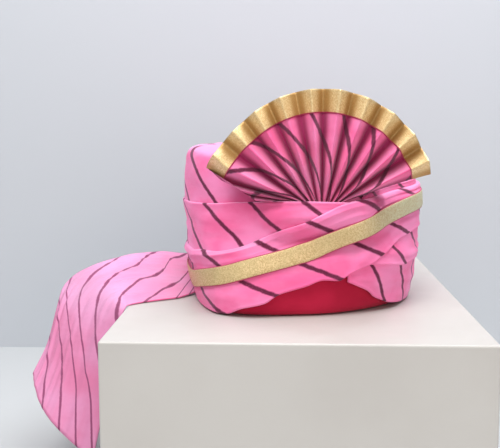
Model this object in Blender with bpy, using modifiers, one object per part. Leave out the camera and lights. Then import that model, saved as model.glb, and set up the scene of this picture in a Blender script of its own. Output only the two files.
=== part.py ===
"""Tied turban (pagri) with a pleated fan and a long tail, set out on a plain white display block.

The turban is wound round a padded cap: a crown cloth, crossing wraps in layers, a gold ribbon and a fan of
cloth with a gold lace edge. The tail comes from under the wraps and falls over the block's side.
Metres, +Z up. The front faces -Y. The origin is the middle of the block's underside.
"""
import math

import bmesh
import bpy
import numpy as np
from mathutils import Vector

# Driving dimensions of the display block
BLOCK_WIDTH = 0.284
BLOCK_DEPTH = 0.410
BLOCK_HEIGHT = 0.150
BLOCK_EDGE = 0.0015

# Driving dimensions of the wound body, and where its middle stands on the block
BODY_WIDTH = 0.209
BODY_DEPTH = 0.252
CROWN_HEIGHT = 0.1335
BODY_X = 0.006
BODY_Y = 0.002
BODY_SQUARENESS = 2.35

# Cloth and padding
GAP = 0.0005
CROWN_WALL = 0.0045
WRAP_WALL = 0.0020
TAIL_WALL = 0.0014
CAP_WALL = 0.0200
CAP_ROOF = 0.0140
CAP_TUCK = 0.0012
CAP_CLEARANCE = 1.5 * GAP
HOLLOW_NARROWING = 0.985
HOLLOW_FULLNESS = 3.2
HOLLOW_ROUNDNESS = 0.9
RIBBON_WIDTH = 0.0150
RIBBON_WALL = 0.0008
RIBBON_CLEARANCE = 1.5 * GAP
DRAPE = 0.0085
DRAPE_START = 0.0050
NEARBY = 0.0030

# Fan and its lace edge
FAN_RADIUS = 0.087
FAN_X = 0.0134
FAN_BASE_HEIGHT = 0.0914
FAN_FOOT_WIDTH = 0.036
FAN_FOOT_DEPTH = 0.011
FAN_PLEATS = 10
FAN_LEFT_ANGLE = 164.5
FAN_RIGHT_ANGLE = 15.5
FAN_WALL = 0.0011
FOOT_PLEAT_DEPTH = 0.0052
EDGE_PLEAT_DEPTH = 0.0070
FAN_BEND = 0.0125
LACE_WIDTH = 0.0175
LACE_WALL = 0.0010
LACE_PROUD = 0.0010
FOOT_LIFT = 0.0036
FOOT_DENT = 0.0072
LACE_CLEARANCE = 0.0003

# Where the upper band bulges over the fan's foot, and where the crown cloth is pushed in behind it: first and
# last turn, degrees over which it fades, and the heights where it starts and is full
FOOT_WINDOW = (-22.0, 38.0, 16.0, 0.50, 0.60)
DENT_WINDOW = (-62.0, 80.0, 40.0, 0.30, 0.46)

# Tail: how far it stands out from the block's side, how high it lies on the block, how low it falls, how
# far its middle swells, and the turban's flank as a share of the body's half width
TAIL_STAND_OFF = 0.080
TAIL_LIFT = 0.025
TAIL_DROP = 0.097
TAIL_BULGE = 0.012
TAIL_FLANK = 0.93

# Meshing
COLUMNS = 48
DOME_LEVELS = (0.36, 0.52, 0.70, 0.84, 0.93, 0.98)

COLLECTION = "turban_pagri_on_block"
PINK = (0.80, 0.135, 0.37)
RED = (0.36, 0.012, 0.035)
GOLD = (0.58, 0.40, 0.17)
WHITE = (0.86, 0.84, 0.82)

# Upright section of the wound body: height as a share of the crown height, width as a share of the full plan
BODY_PROFILE = (
    (0.00, 0.915),
    (0.06, 0.935),
    (0.19, 0.965),
    (0.34, 0.985),
    (0.49, 0.995),
    (0.60, 0.985),
    (0.75, 0.965),
    (0.85, 0.945),
    (0.91, 0.915),
    (0.95, 0.860),
    (0.98, 0.740),
    (0.995, 0.470),
    (1.00, 0.000),
)

# How far the body's foot bulges forward, most at the front left: turn in degrees, share of half the depth. The
# bulge fades out upwards and ends at FLARE_TOP, a share of the crown height
FLARE = (
    (-180, 0.0),
    (-90, 0.0),
    (-71, 0.012),
    (-60, 0.035),
    (-50, 0.075),
    (-40, 0.130),
    (-32, 0.165),
    (-24, 0.165),
    (-17, 0.145),
    (-9, 0.115),
    (0, 0.085),
    (12, 0.050),
    (25, 0.015),
    (38, 0.0),
    (180, 0.0),
)
FLARE_TOP = 0.50

# Sections across a wrap, low edge to high edge: place across, thickness as a share of the wall
PLAIN_SECTION = ((0.00, 0.50), (0.10, 1.00), (0.50, 1.15), (0.90, 1.00), (1.00, 0.50))
TALL_SECTION = (
    (0.00, 0.50),
    (0.10, 1.00),
    (0.30, 1.10),
    (0.50, 1.15),
    (0.70, 1.10),
    (0.90, 1.00),
    (1.00, 0.50),
)
PLEATED_SECTION = (
    (0.00, 0.50),
    (0.14, 1.00),
    (0.30, 1.02),
    (0.46, 1.05),
    (0.53, 1.60),
    (0.74, 1.20),
    (0.81, 1.70),
    (1.00, 0.60),
)

# Wraps from the inside out. Each row: turn in degrees from the front towards +X, then the low and the high
# edge as shares of the crown height
UPPER_BAND = (
    (-180, 0.46, 0.660),
    (-120, 0.38, 0.650),
    (-90, 0.32, 0.645),
    (-66, 0.31, 0.642),
    (-50, 0.31, 0.650),
    (-30, 0.34, 0.675),
    (-16, 0.40, 0.685),
    (0, 0.50, 0.688),
    (12, 0.56, 0.682),
    (20, 0.56, 0.680),
    (40, 0.57, 0.690),
    (66, 0.58, 0.700),
    (90, 0.59, 0.710),
    (135, 0.56, 0.705),
    (180, 0.46, 0.660),
)
LOWER_FLAP = (
    (15, 0.205, 0.260),
    (20, 0.171, 0.330),
    (26, 0.133, 0.370),
    (30, 0.092, 0.370),
    (35, 0.066, 0.365),
    (41, 0.040, 0.355),
    (51, 0.020, 0.340),
    (60, 0.006, 0.335),
    (75, 0.003, 0.340),
    (90, 0.003, 0.330),
    (120, 0.003, 0.290),
    (150, 0.003, 0.210),
    (180, 0.003, 0.150),
    (210, 0.003, 0.130),
    (235, 0.003, 0.110),
)
UPPER_FLAP = (
    (22, 0.315, 0.350),
    (27, 0.303, 0.385),
    (37, 0.290, 0.430),
    (51, 0.269, 0.520),
    (57, 0.275, 0.530),
    (75, 0.285, 0.560),
    (90, 0.270, 0.580),
    (120, 0.230, 0.540),
    (150, 0.160, 0.440),
    (180, 0.110, 0.320),
    (200, 0.130, 0.270),
    (216, 0.175, 0.260),
)
UPPER_FOLD = (
    (22, 0.640, 0.705),
    (26, 0.645, 0.735),
    (34, 0.655, 0.753),
    (47, 0.670, 0.778),
    (66, 0.680, 0.790),
    (90, 0.690, 0.805),
    (120, 0.670, 0.795),
    (150, 0.600, 0.740),
    (180, 0.500, 0.660),
    (200, 0.400, 0.560),
    (218, 0.340, 0.450),
)
LOWER_WRAP = (
    (-180, 0.150, 0.460),
    (-150, 0.165, 0.345),
    (-122, 0.200, 0.300),
    (-105, 0.158, 0.260),
    (-90, 0.112, 0.220),
    (-74, 0.045, 0.200),
    (-60, 0.003, 0.190),
    (-45, 0.003, 0.230),
    (-29, 0.008, 0.272),
    (-22, 0.049, 0.310),
    (-13, 0.085, 0.355),
    (-8, 0.137, 0.378),
    (-1, 0.176, 0.412),
    (6, 0.222, 0.470),
    (12, 0.216, 0.500),
    (17, 0.255, 0.530),
    (26, 0.302, 0.570),
    (34, 0.351, 0.608),
    (44, 0.407, 0.640),
    (57, 0.447, 0.675),
    (75, 0.480, 0.690),
    (90, 0.495, 0.695),
    (120, 0.455, 0.665),
    (150, 0.320, 0.565),
    (180, 0.150, 0.460),
)
DIAGONAL_WRAP = (
    (-180, 0.390, 0.620),
    (-150, 0.278, 0.500),
    (-120, 0.222, 0.410),
    (-100, 0.173, 0.370),
    (-80, 0.134, 0.348),
    (-62, 0.121, 0.340),
    (-50, 0.150, 0.360),
    (-40, 0.172, 0.366),
    (-30, 0.206, 0.395),
    (-20, 0.250, 0.444),
    (-8, 0.310, 0.515),
    (-1, 0.346, 0.555),
    (4, 0.390, 0.603),
    (13, 0.445, 0.668),
    (19, 0.480, 0.690),
    (26, 0.507, 0.702),
    (34, 0.547, 0.716),
    (47, 0.582, 0.738),
    (66, 0.612, 0.750),
    (90, 0.630, 0.760),
    (120, 0.600, 0.740),
    (150, 0.495, 0.690),
    (180, 0.390, 0.620),
)
WRAPS = (
    ("upper_band", UPPER_BAND, TALL_SECTION),
    ("lower_flap", LOWER_FLAP, PLAIN_SECTION),
    ("upper_flap", UPPER_FLAP, PLAIN_SECTION),
    ("upper_fold", UPPER_FOLD, PLAIN_SECTION),
    ("lower_wrap", LOWER_WRAP, TALL_SECTION),
    ("diagonal_wrap", DIAGONAL_WRAP, PLEATED_SECTION),
)

# Middle line of the gold ribbon: turn in degrees, height as a share of the crown height
RIBBON_LINE = (
    (-180, 0.425),
    (-150, 0.312),
    (-120, 0.257),
    (-100, 0.208),
    (-80, 0.167),
    (-62, 0.154),
    (-45, 0.193),
    (-30, 0.236),
    (-20, 0.285),
    (-9, 0.337),
    (-1, 0.376),
    (4, 0.420),
    (14, 0.480),
    (25, 0.532),
    (33, 0.573),
    (46, 0.610),
    (58, 0.638),
    (75, 0.655),
    (90, 0.660),
    (120, 0.630),
    (150, 0.530),
    (180, 0.425),
)

# Lowest edge of the crown cloth, lifted behind the open arch at the front: turn in degrees, share of the height
CROWN_EDGE = (
    (-180, 0.010),
    (-45, 0.010),
    (-29, 0.050),
    (-22, 0.090),
    (-13, 0.130),
    (-8, 0.180),
    (-1, 0.220),
    (6, 0.262),
    (13, 0.258),
    (20, 0.225),
    (26, 0.185),
    (34, 0.120),
    (44, 0.080),
    (57, 0.030),
    (70, 0.010),
    (180, 0.010),
)

# How far round the fan its rim is full: place across from left to right, share of the radius
FAN_RIM = ((0.0, 1.09), (0.08, 1.045), (0.2, 1.005), (0.35, 1.0), (0.7, 1.0), (0.85, 1.01), (1.0, 1.015))
FAN_ROWS = (0.0, 0.20, 0.50)

# Tail sections from the turban to the cut end. For the near and the far edge: place across (0 the turban's
# flank, 1 the block's side, more as shares of the stand-off), place in depth as a share of half the body's
# depth, and height (positive a share of the lift, negative a share of the drop)
TAIL_SECTIONS = (
    (0.24, -0.47, 0.02, 0.36, 0.45, 0.88),
    (0.50, -0.54, 0.02, 0.84, 0.40, 1.00),
    (0.80, -0.63, 0.02, 1.21, 0.34, 0.96),
    (0.99, -0.72, 0.02, 1.43, 0.26, 0.80),
    (1.02, -0.77, -0.015, 1.61, 0.13, 0.60),
    (1.06, -0.83, -0.14, 1.74, -0.05, 0.40),
    (1.075, -0.91, -0.35, 1.81, -0.24, 0.12),
    (1.11, -0.98, -0.56, 1.85, -0.40, -0.12),
    (1.15, -1.07, -0.78, 1.91, -0.56, -0.37),
    (1.27, -1.24, -1.00, 1.99, -0.77, -0.58),
)
TAIL_ROOT_TURNS = (-74, -122)
TAIL_ROOT_HEIGHTS = (0.012, 0.155)
TAIL_COLUMNS = 8


def remove_old_objects():
    """Empty the scene without closing the file."""
    for old in list(bpy.data.objects):
        bpy.data.objects.remove(old, do_unlink=True)


def make_material(name, colour, roughness, metallic=0.0):
    """Return a Principled material of one colour."""
    material = bpy.data.materials.new(name)
    material.use_nodes = True
    shader = material.node_tree.nodes["Principled BSDF"]
    shader.inputs["Base Color"].default_value = (*colour, 1.0)
    shader.inputs["Roughness"].default_value = roughness
    shader.inputs["Metallic"].default_value = metallic
    return material


def finish_object(obj, collection, material):
    """File the object in its collection, dress it and shade it smooth."""
    for old in list(obj.users_collection):
        old.objects.unlink(obj)
    collection.objects.link(obj)
    obj.data.materials.clear()
    obj.data.materials.append(material)
    obj.data.shade_smooth()
    obj.data.set_sharp_from_angle(angle=math.radians(40))
    return obj


def table_value(rows, column, at):
    """Read one column of a table at a place, on a smooth line through its rows that never overshoots them."""
    places = np.array([row[0] for row in rows], float)
    values = np.array([row[column] for row in rows], float)
    rise = np.diff(values) / np.diff(places)
    before, after = rise[:-1], rise[1:]
    same_way = before * after > 0.0
    total = np.where(same_way, before + after, 1.0)
    inner = np.where(same_way, 2.0 * before * after / total, 0.0)
    slope = np.concatenate([rise[:1], inner, rise[-1:]])
    at = np.clip(at, places[0], places[-1])
    row = np.clip(np.searchsorted(places, at, side="right") - 1, 0, len(places) - 2)
    width = places[row + 1] - places[row]
    t = (at - places[row]) / width
    start = values[row] * (1.0 + 2.0 * t) * (1.0 - t) ** 2 + values[row + 1] * t * t * (3.0 - 2.0 * t)
    return start + width * t * (1.0 - t) * (slope[row] * (1.0 - t) - slope[row + 1] * t)


def smooth_step(value):
    """Rise softly from 0 to 1 as the value goes from 0 to 1."""
    value = np.clip(value, 0.0, 1.0)
    return value * value * (3.0 - 2.0 * value)


def signed_power(value, power):
    """Raise a size to a power and keep its sign."""
    return np.sign(value) * np.abs(value) ** power


def body_surface(turn, height):
    """Point on the wound body at a turn in degrees and a height share, before anything is wound over it."""
    width = table_value(BODY_PROFILE, 1, height)
    angle = np.radians(turn)
    power = 2.0 / BODY_SQUARENESS
    flare = 0.5 * BODY_DEPTH * table_value(FLARE, 1, (turn + 180.0) % 360.0 - 180.0)
    flare = flare * (1.0 - smooth_step(height / FLARE_TOP))
    x = BODY_X + 0.5 * BODY_WIDTH * width * signed_power(np.sin(angle), power) + flare * np.sin(angle)
    y = BODY_Y - 0.5 * BODY_DEPTH * width * signed_power(np.cos(angle), power) - flare * np.cos(angle)
    z = np.broadcast_to(BLOCK_HEIGHT + GAP + CROWN_HEIGHT * height, x.shape)
    return np.stack([x, y, z], -1)


def body_point(turn, height, out):
    """Point a distance out from the wound body, along the direction that the body faces there."""
    turn, height, out = np.broadcast_arrays(np.asarray(turn, float), np.asarray(height, float), out)
    here = body_surface(turn, height)
    along = body_surface(turn + 1.5, height) - body_surface(turn - 1.5, height)
    low = np.clip(height - 0.05, 0.0, 0.995)
    high = np.clip(height + 0.05, 0.0, 0.995)
    up = body_surface(turn, high) - body_surface(turn, low)
    facing = np.cross(along, up)
    length = np.linalg.norm(facing, axis=-1, keepdims=True)
    return here + facing / np.maximum(length, 1e-12) * out[..., None]


def inside_window(turn, height, window):
    """1 inside a window of turns and above its height, falling softly to 0 round it."""
    first, last, fade, low, high = window
    turn = (np.asarray(turn, float) + 180.0) % 360.0 - 180.0
    sideways = smooth_step((turn - first) / fade) * smooth_step((last - turn) / fade)
    return sideways * smooth_step((height - low) / (high - low))


def crown_dent(turn, height):
    """How far the crown cloth is pushed in behind the fan."""
    return FOOT_DENT * inside_window(turn, height, DENT_WINDOW)


class Winding:
    """The cloth wound on the body so far, and how far out it stands."""

    def __init__(self):
        self.layers = []

    def add(self, rows, turns, heights, tops):
        """Add a layer: its table of edges, its columns, and the height and top of each row at each column."""
        self.layers.append((rows, np.asarray(turns), np.array(heights), np.array(tops)))

    def top(self, layer, turn, height):
        """How far out a layer's outside stands, straight between its own rows and columns."""
        rows, turns, heights, tops = self.layers[layer]
        if rows[-1][0] - rows[0][0] >= 360:
            turns = np.append(turns, turns[0] + 360.0)
            heights = np.column_stack([heights, heights[:, 0]])
            tops = np.column_stack([tops, tops[:, 0]])
        left = np.clip(np.searchsorted(turns, turn, side="right") - 1, 0, len(turns) - 2)
        share = np.clip((turn - turns[left]) / (turns[left + 1] - turns[left]), 0.0, 1.0)
        value = []
        for column, part, level in zip(left, share, height):
            near = np.interp(level, heights[:, column], tops[:, column])
            far = np.interp(level, heights[:, column + 1], tops[:, column + 1])
            value.append(near + (far - near) * part)
        return np.array(value)

    def lift(self, turn, height):
        """How far out the next wrap lies: over the highest cloth close to each place."""
        near = NEARBY / CROWN_HEIGHT
        return np.max([self.draped(turn, height + shift) for shift in (-near, 0.0, near)], axis=0)

    def draped(self, turn, height):
        """How far out the cloth stands, with what comes next draped softly past the edges below it."""
        lift = FOOT_LIFT * inside_window(turn, height, FOOT_WINDOW)
        for layer, (rows, _turns, _heights, _tops) in enumerate(self.layers):
            low, high, place, outside = wrap_edges(rows, turn)
            beyond = np.maximum(low - height, height - high) * CROWN_HEIGHT
            beyond = np.maximum(beyond, outside * math.radians(1.0) * 0.5 * BODY_WIDTH)
            cover = smooth_step(1.0 - (beyond - DRAPE_START) / DRAPE)
            lift = np.maximum(lift, self.top(layer, place, height) * cover)
        return lift


def wrap_edges(rows, turn):
    """Low and high edge of a wrap, the turn where they are read and how far outside its ends that lies."""
    first, last = rows[0][0], rows[-1][0]
    turn = first + (np.asarray(turn, float) - first) % 360.0
    outside = np.where(turn > last, np.minimum(turn - last, first + 360.0 - turn), -1.0)
    nearest = np.where(first + 360.0 - turn < turn - last, first, last)
    turn = np.where(turn > last, nearest, turn)
    return table_value(rows, 1, turn), table_value(rows, 2, turn), turn, outside


def turns_between(first, last):
    """Turns at the shared columns between two ends, with the ends themselves."""
    step = 360.0 / COLUMNS
    inner = np.arange(math.ceil((first + 0.3 * step) / step), math.floor((last - 0.3 * step) / step) + 1) * step
    return np.concatenate([[first], inner, [last]])


def full_turns():
    """Turns of the shared columns once round."""
    return np.arange(COLUMNS) * 360.0 / COLUMNS - 180.0


def add_rows(mesh, rows):
    """Add a grid of points to a mesh and return its vertices row by row."""
    return [[mesh.verts.new(Vector(point)) for point in row] for row in rows]


def add_skin(mesh, grid, closed, flip):
    """Fill a grid with triangles, all split the same way so that layers over each other match."""
    columns = len(grid[0])
    last = columns if closed else columns - 1
    for lower, upper in zip(grid, grid[1:]):
        for column in range(last):
            after = (column + 1) % columns
            for corners in (
                [lower[column], lower[after], upper[after]],
                [lower[column], upper[after], upper[column]],
            ):
                mesh.faces.new(corners[::-1] if flip else corners)


def object_from(mesh, name):
    """Turn a built mesh into an object."""
    data = bpy.data.meshes.new(name)
    mesh.to_mesh(data)
    mesh.free()
    obj = bpy.data.objects.new(name, data)
    bpy.context.scene.collection.objects.link(obj)
    return obj


def loft_between(name, front_rows, back_rows, closed):
    """Closed body between two unlike grids of the same size, the front one facing out."""
    mesh = bmesh.new()
    front = add_rows(mesh, front_rows)
    back = add_rows(mesh, back_rows)
    add_skin(mesh, front, closed, False)
    add_skin(mesh, back, closed, True)
    add_skin(mesh, [back[0], front[0]], closed, False)
    add_skin(mesh, [front[-1], back[-1]], closed, False)
    if not closed:
        add_skin(mesh, [[row[0] for row in front], [row[0] for row in back]], False, False)
        add_skin(mesh, [[row[-1] for row in back], [row[-1] for row in front]], False, False)
    return object_from(mesh, name)


def close_pole(mesh, ring, point, flip):
    """Close a ring of vertices on one middle point."""
    middle = mesh.verts.new(Vector(point))
    for index, vertex in enumerate(ring):
        corners = [vertex, ring[(index + 1) % len(ring)], middle]
        mesh.faces.new(corners[::-1] if flip else corners)


def make_block():
    """Plain block that the turban stands on."""
    bpy.ops.mesh.primitive_cube_add(size=1.0, location=(0.0, 0.0, 0.5 * BLOCK_HEIGHT))
    block = bpy.context.object
    block.name = "display_block"
    block.scale = (BLOCK_WIDTH, BLOCK_DEPTH, BLOCK_HEIGHT)
    bpy.ops.object.transform_apply(location=False, rotation=False, scale=True)
    bevel = block.modifiers.new("edge", "BEVEL")
    bevel.width = BLOCK_EDGE
    bevel.segments = 2
    return block


def dome_between(name, outer_rows, inner_rows, outer_top, inner_top):
    """Closed dome shell, open at the bottom: two sets of rings, each closed on its own middle point."""
    mesh = bmesh.new()
    outside = add_rows(mesh, outer_rows)
    inside = add_rows(mesh, inner_rows)
    add_skin(mesh, outside, True, False)
    add_skin(mesh, inside, True, True)
    add_skin(mesh, [inside[0], outside[0]], True, False)
    close_pole(mesh, outside[-1], (BODY_X, BODY_Y, outer_top), False)
    close_pole(mesh, inside[-1], (BODY_X, BODY_Y, inner_top), True)
    return object_from(mesh, name)


def make_crown():
    """Wound crown cloth: an open dome with a wall, lifted at the front arch and pushed in behind the fan."""
    turns = full_turns()
    edge = table_value(CROWN_EDGE, 1, turns)
    skirt = [edge + (DOME_LEVELS[0] - edge) * share for share in (0.0, 0.5)]
    levels = skirt + [np.full(len(turns), level) for level in DOME_LEVELS]
    outer = [body_point(turns, level, -crown_dent(turns, level)) for level in levels]
    inner = [body_point(turns, level, -CROWN_WALL - crown_dent(turns, level)) for level in levels]
    top = BLOCK_HEIGHT + GAP + CROWN_HEIGHT
    return dome_between("crown_cloth", outer, inner, top, top - CROWN_WALL)


def make_cap():
    """Padded inner cap: its outside fits in the crown cloth and its hollow is an oval dome for the head."""
    inset = CROWN_WALL + CAP_CLEARANCE
    turns = full_turns()
    levels = (0.0, 0.5 * DOME_LEVELS[0]) + DOME_LEVELS
    outer = []
    for level in levels:
        tuck = CAP_TUCK * smooth_step(2.0 - 2.0 * level / DOME_LEVELS[0])
        outer.append(body_point(turns, level, -inset - crown_dent(turns, level) - tuck))
    outer_top = BLOCK_HEIGHT + GAP + CROWN_HEIGHT - inset
    roof = CROWN_HEIGHT - inset - CAP_ROOF
    angle = np.radians(turns)
    half_width = 0.5 * BODY_WIDTH - inset - CAP_WALL
    half_depth = 0.5 * BODY_DEPTH - inset - CAP_WALL
    hollow = []
    for level in levels:
        rise = HOLLOW_NARROWING * level / levels[-1]
        width = HOLLOW_NARROWING * (1.0 - rise ** HOLLOW_FULLNESS) ** 0.5
        x = BODY_X + half_width * width * signed_power(np.sin(angle), HOLLOW_ROUNDNESS)
        y = BODY_Y - half_depth * width * signed_power(np.cos(angle), HOLLOW_ROUNDNESS)
        hollow.append(np.stack([x, y, BLOCK_HEIGHT + GAP + roof * rise + 0.0 * x], -1))
    return dome_between("padded_cap", outer, hollow, outer_top, BLOCK_HEIGHT + GAP + roof)


def make_wrap(winding, name, rows, section):
    """One wound wrap, lying on everything under it, with rolled edges."""
    closed = rows[-1][0] - rows[0][0] >= 360
    turns = full_turns() if closed else turns_between(rows[0][0], rows[-1][0])
    low, high, _place, _outside = wrap_edges(rows, turns)
    front, back, heights, tops = [], [], [], []
    for across, share in section:
        height = low + (high - low) * across
        under = winding.lift(turns, height) + GAP
        back.append(body_point(turns, height, under))
        front.append(body_point(turns, height, under + WRAP_WALL * share))
        heights.append(height)
        tops.append(under + WRAP_WALL * max(share, 0.8))
    winding.add(rows, turns, heights, tops)
    return loft_between(name, front, back, closed)


def make_ribbon(winding):
    """Gold ribbon wound once round over the wraps."""
    turns = full_turns()
    middle = table_value(RIBBON_LINE, 1, turns)
    ahead = body_surface(turns + 2.0, table_value(RIBBON_LINE, 1, (turns + 182.0) % 360.0 - 180.0))
    behind = body_surface(turns - 2.0, table_value(RIBBON_LINE, 1, (turns + 178.0) % 360.0 - 180.0))
    run = ahead - behind
    lean = np.linalg.norm(run, axis=-1) / np.linalg.norm(run[:, :2], axis=-1)
    half = 0.5 * RIBBON_WIDTH * lean / CROWN_HEIGHT
    rows = []
    for across in (-1.0, -0.33, 0.33, 1.0):
        height = middle + half * across
        rows.append(body_point(turns, height, winding.lift(turns, height) + RIBBON_CLEARANCE))
    mesh = bmesh.new()
    add_skin(mesh, add_rows(mesh, rows), True, False)
    ribbon = object_from(mesh, "gold_ribbon")
    wall = ribbon.modifiers.new("wall", "SOLIDIFY")
    wall.thickness = RIBBON_WALL
    wall.offset = 1.0
    return ribbon


def fan_wave(across):
    """1 on the ridge of a pleat and -1 in its valley."""
    return -np.cos(2.0 * math.pi * FAN_PLEATS * across)


def fan_grid(rows, ahead):
    """Front or back of the fan: rows of points from the foot to the rim, set ahead of its middle by a share."""
    across = np.linspace(0.0, 1.0, 4 * FAN_PLEATS + 1)
    angle = np.radians(FAN_LEFT_ANGLE + (FAN_RIGHT_ANGLE - FAN_LEFT_ANGLE) * across)
    radius = FAN_RADIUS * table_value(FAN_RIM, 1, across)
    base_x = (across - 0.5) * FAN_FOOT_WIDTH
    share = table_value(BODY_PROFILE, 1, FAN_BASE_HEIGHT / CROWN_HEIGHT)
    fan_y = BODY_Y - 0.5 * BODY_DEPTH * share - 0.5 * (FOOT_LIFT - FOOT_DENT)
    spread = math.radians(FAN_LEFT_ANGLE - FAN_RIGHT_ANGLE)
    points = []
    for row in rows:
        out = max(row, 0.0)
        x = base_x + (radius * np.cos(angle) - base_x) * out
        z = radius * np.sin(angle) * out + min(row, 0.0) * FAN_FOOT_DEPTH
        pitch = FAN_FOOT_WIDTH * (1.0 - out) + spread * FAN_RADIUS * out
        half_pitch = 0.5 * pitch / FAN_PLEATS
        depth = FOOT_PLEAT_DEPTH + (EDGE_PLEAT_DEPTH - FOOT_PLEAT_DEPTH) * out
        slant = math.hypot(1.0, depth / half_pitch)
        # past the body's side the fan follows the depth of that side
        sideways = np.minimum(np.abs(FAN_X + x) / (0.5 * BODY_WIDTH * share), 1.0)
        front = (1.0 - sideways ** BODY_SQUARENESS) ** (1.0 / BODY_SQUARENESS)
        round_body = 0.5 * BODY_DEPTH * share * (1.0 - front)
        bend = round_body * (1.0 - out) + FAN_BEND * (x / FAN_RADIUS) ** 2 * out
        y = fan_y + bend - 0.5 * depth * fan_wave(across) - ahead * slant
        points.append(np.stack([BODY_X + FAN_X + x, y, BLOCK_HEIGHT + GAP + FAN_BASE_HEIGHT + z], -1))
    return points


def make_fan():
    """Fan of pleated cloth, its foot tucked between the crown cloth and the upper band."""
    lace_start = 1.0 - LACE_WIDTH / FAN_RADIUS
    rows = (-1.0, *FAN_ROWS, lace_start, 0.5 * (1.0 + lace_start), 1.0)
    return loft_between("fan", fan_grid(rows, 0.5 * FAN_WALL), fan_grid(rows, -0.5 * FAN_WALL), False)


def make_lace():
    """Gold lace along the fan's rim, following its pleats."""
    lace_start = 1.0 - LACE_WIDTH / FAN_RADIUS
    rows = (lace_start, 0.5 * (1.0 + lace_start), 1.0 + LACE_PROUD / FAN_RADIUS)
    inner = 0.5 * FAN_WALL + LACE_CLEARANCE
    return loft_between("fan_lace", fan_grid(rows, inner + LACE_WALL), fan_grid(rows, inner), False)


def tail_edge_point(across, depth, height):
    """Place of a point of the tail's edge, from the turban's flank, the block's side and the tail's sizes."""
    flank = BODY_X - 0.5 * BODY_WIDTH * TAIL_FLANK
    side = -0.5 * BLOCK_WIDTH
    if across <= 1.0:
        x = flank + (side - flank) * across
    else:
        x = side - TAIL_STAND_OFF * (across - 1.0)
    y = BODY_Y + 0.5 * BODY_DEPTH * depth
    z = BLOCK_HEIGHT + height * (TAIL_LIFT if height > 0.0 else TAIL_DROP)
    return np.array([x, y, z])


def make_tail():
    """Tail that leaves the turban under its lower wrap, crosses the block and falls past the block's side."""
    across = np.linspace(0.0, 1.0, TAIL_COLUMNS + 1)
    turns = TAIL_ROOT_TURNS[0] + (TAIL_ROOT_TURNS[1] - TAIL_ROOT_TURNS[0]) * across
    heights = TAIL_ROOT_HEIGHTS[0] + (TAIL_ROOT_HEIGHTS[1] - TAIL_ROOT_HEIGHTS[0]) * across
    rows = [body_point(turns, heights, 2.0 * GAP)]
    for order, section in enumerate(TAIL_SECTIONS, start=1):
        near = tail_edge_point(*section[:3])
        far = tail_edge_point(*section[3:])
        share = order / len(TAIL_SECTIONS)
        outward = np.array([-1.0, -0.35, 1.0 - 0.9 * share])
        swell = TAIL_BULGE * share * np.sin(math.pi * across)[:, None] * outward / np.linalg.norm(outward)
        rows.append(near + (far - near) * across[:, None] + swell)
    mesh = bmesh.new()
    add_skin(mesh, add_rows(mesh, rows), False, False)
    tail = object_from(mesh, "tail")
    wall = tail.modifiers.new("wall", "SOLIDIFY")
    wall.thickness = TAIL_WALL
    wall.offset = 1.0
    return tail


def main():
    """Build every piece and dress it."""
    remove_old_objects()
    collection = bpy.data.collections.new(COLLECTION)
    bpy.context.scene.collection.children.link(collection)
    pink = make_material("pink_cloth", PINK, 0.75)
    red = make_material("red_cloth", RED, 0.85)
    gold = make_material("gold_weave", GOLD, 0.45, 0.6)
    white = make_material("white_paint", WHITE, 0.45)
    finish_object(make_block(), collection, white)
    finish_object(make_cap(), collection, red)
    finish_object(make_crown(), collection, pink)
    winding = Winding()
    for name, rows, section in WRAPS:
        finish_object(make_wrap(winding, name, rows, section), collection, pink)
    finish_object(make_ribbon(winding), collection, gold)
    finish_object(make_fan(), collection, pink)
    finish_object(make_lace(), collection, gold)
    finish_object(make_tail(), collection, pink)


main()
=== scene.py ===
"""Dressed model of a tied turban with a pleated fan, a gold ribbon and a long tail, on a white display block.

Metres, +Z up. The front of the turban faces -Y, and +X is to the right as seen from the front.
"""
import logging
import math
from dataclasses import dataclass, field
from enum import Enum

import bpy
import numpy as np
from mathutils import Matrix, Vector


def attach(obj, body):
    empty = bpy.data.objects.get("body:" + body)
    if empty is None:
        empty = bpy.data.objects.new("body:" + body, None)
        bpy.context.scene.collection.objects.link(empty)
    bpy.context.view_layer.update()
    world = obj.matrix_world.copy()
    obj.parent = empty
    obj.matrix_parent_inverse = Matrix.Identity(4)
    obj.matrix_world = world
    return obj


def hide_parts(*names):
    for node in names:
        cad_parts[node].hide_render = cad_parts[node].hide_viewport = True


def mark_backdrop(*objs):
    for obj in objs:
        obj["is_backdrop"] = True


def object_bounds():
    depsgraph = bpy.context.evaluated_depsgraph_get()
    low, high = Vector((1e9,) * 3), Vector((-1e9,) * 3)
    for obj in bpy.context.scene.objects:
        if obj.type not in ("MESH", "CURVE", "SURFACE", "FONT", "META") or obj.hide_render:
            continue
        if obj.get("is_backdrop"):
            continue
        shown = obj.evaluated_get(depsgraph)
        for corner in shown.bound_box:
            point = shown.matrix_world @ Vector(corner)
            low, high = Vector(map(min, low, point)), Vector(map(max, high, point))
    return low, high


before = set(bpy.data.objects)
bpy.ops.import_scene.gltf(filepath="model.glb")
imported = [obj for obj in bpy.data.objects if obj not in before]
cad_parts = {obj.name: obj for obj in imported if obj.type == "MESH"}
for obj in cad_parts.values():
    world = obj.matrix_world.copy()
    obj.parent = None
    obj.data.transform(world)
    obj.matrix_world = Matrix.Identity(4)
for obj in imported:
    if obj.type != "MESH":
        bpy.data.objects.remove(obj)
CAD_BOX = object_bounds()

LOG = logging.getLogger("turban")
Rows = tuple[tuple[float, ...], ...]
Colour = tuple[float, float, float]
Place = tuple[float, float, float]
Socket = bpy.types.NodeSocket
BODY = "root"
NOISE_PITCH = (0.6, 1.5)
NOISE_LEVEL = 0.75
TINY = 1e-12


class Hold(Enum):
    """How a sheet of cloth is held."""

    WOUND = "draped"
    GATHERED = "gathered"
    STRETCHED = "stretched"
    LAID = "laid"


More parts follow.
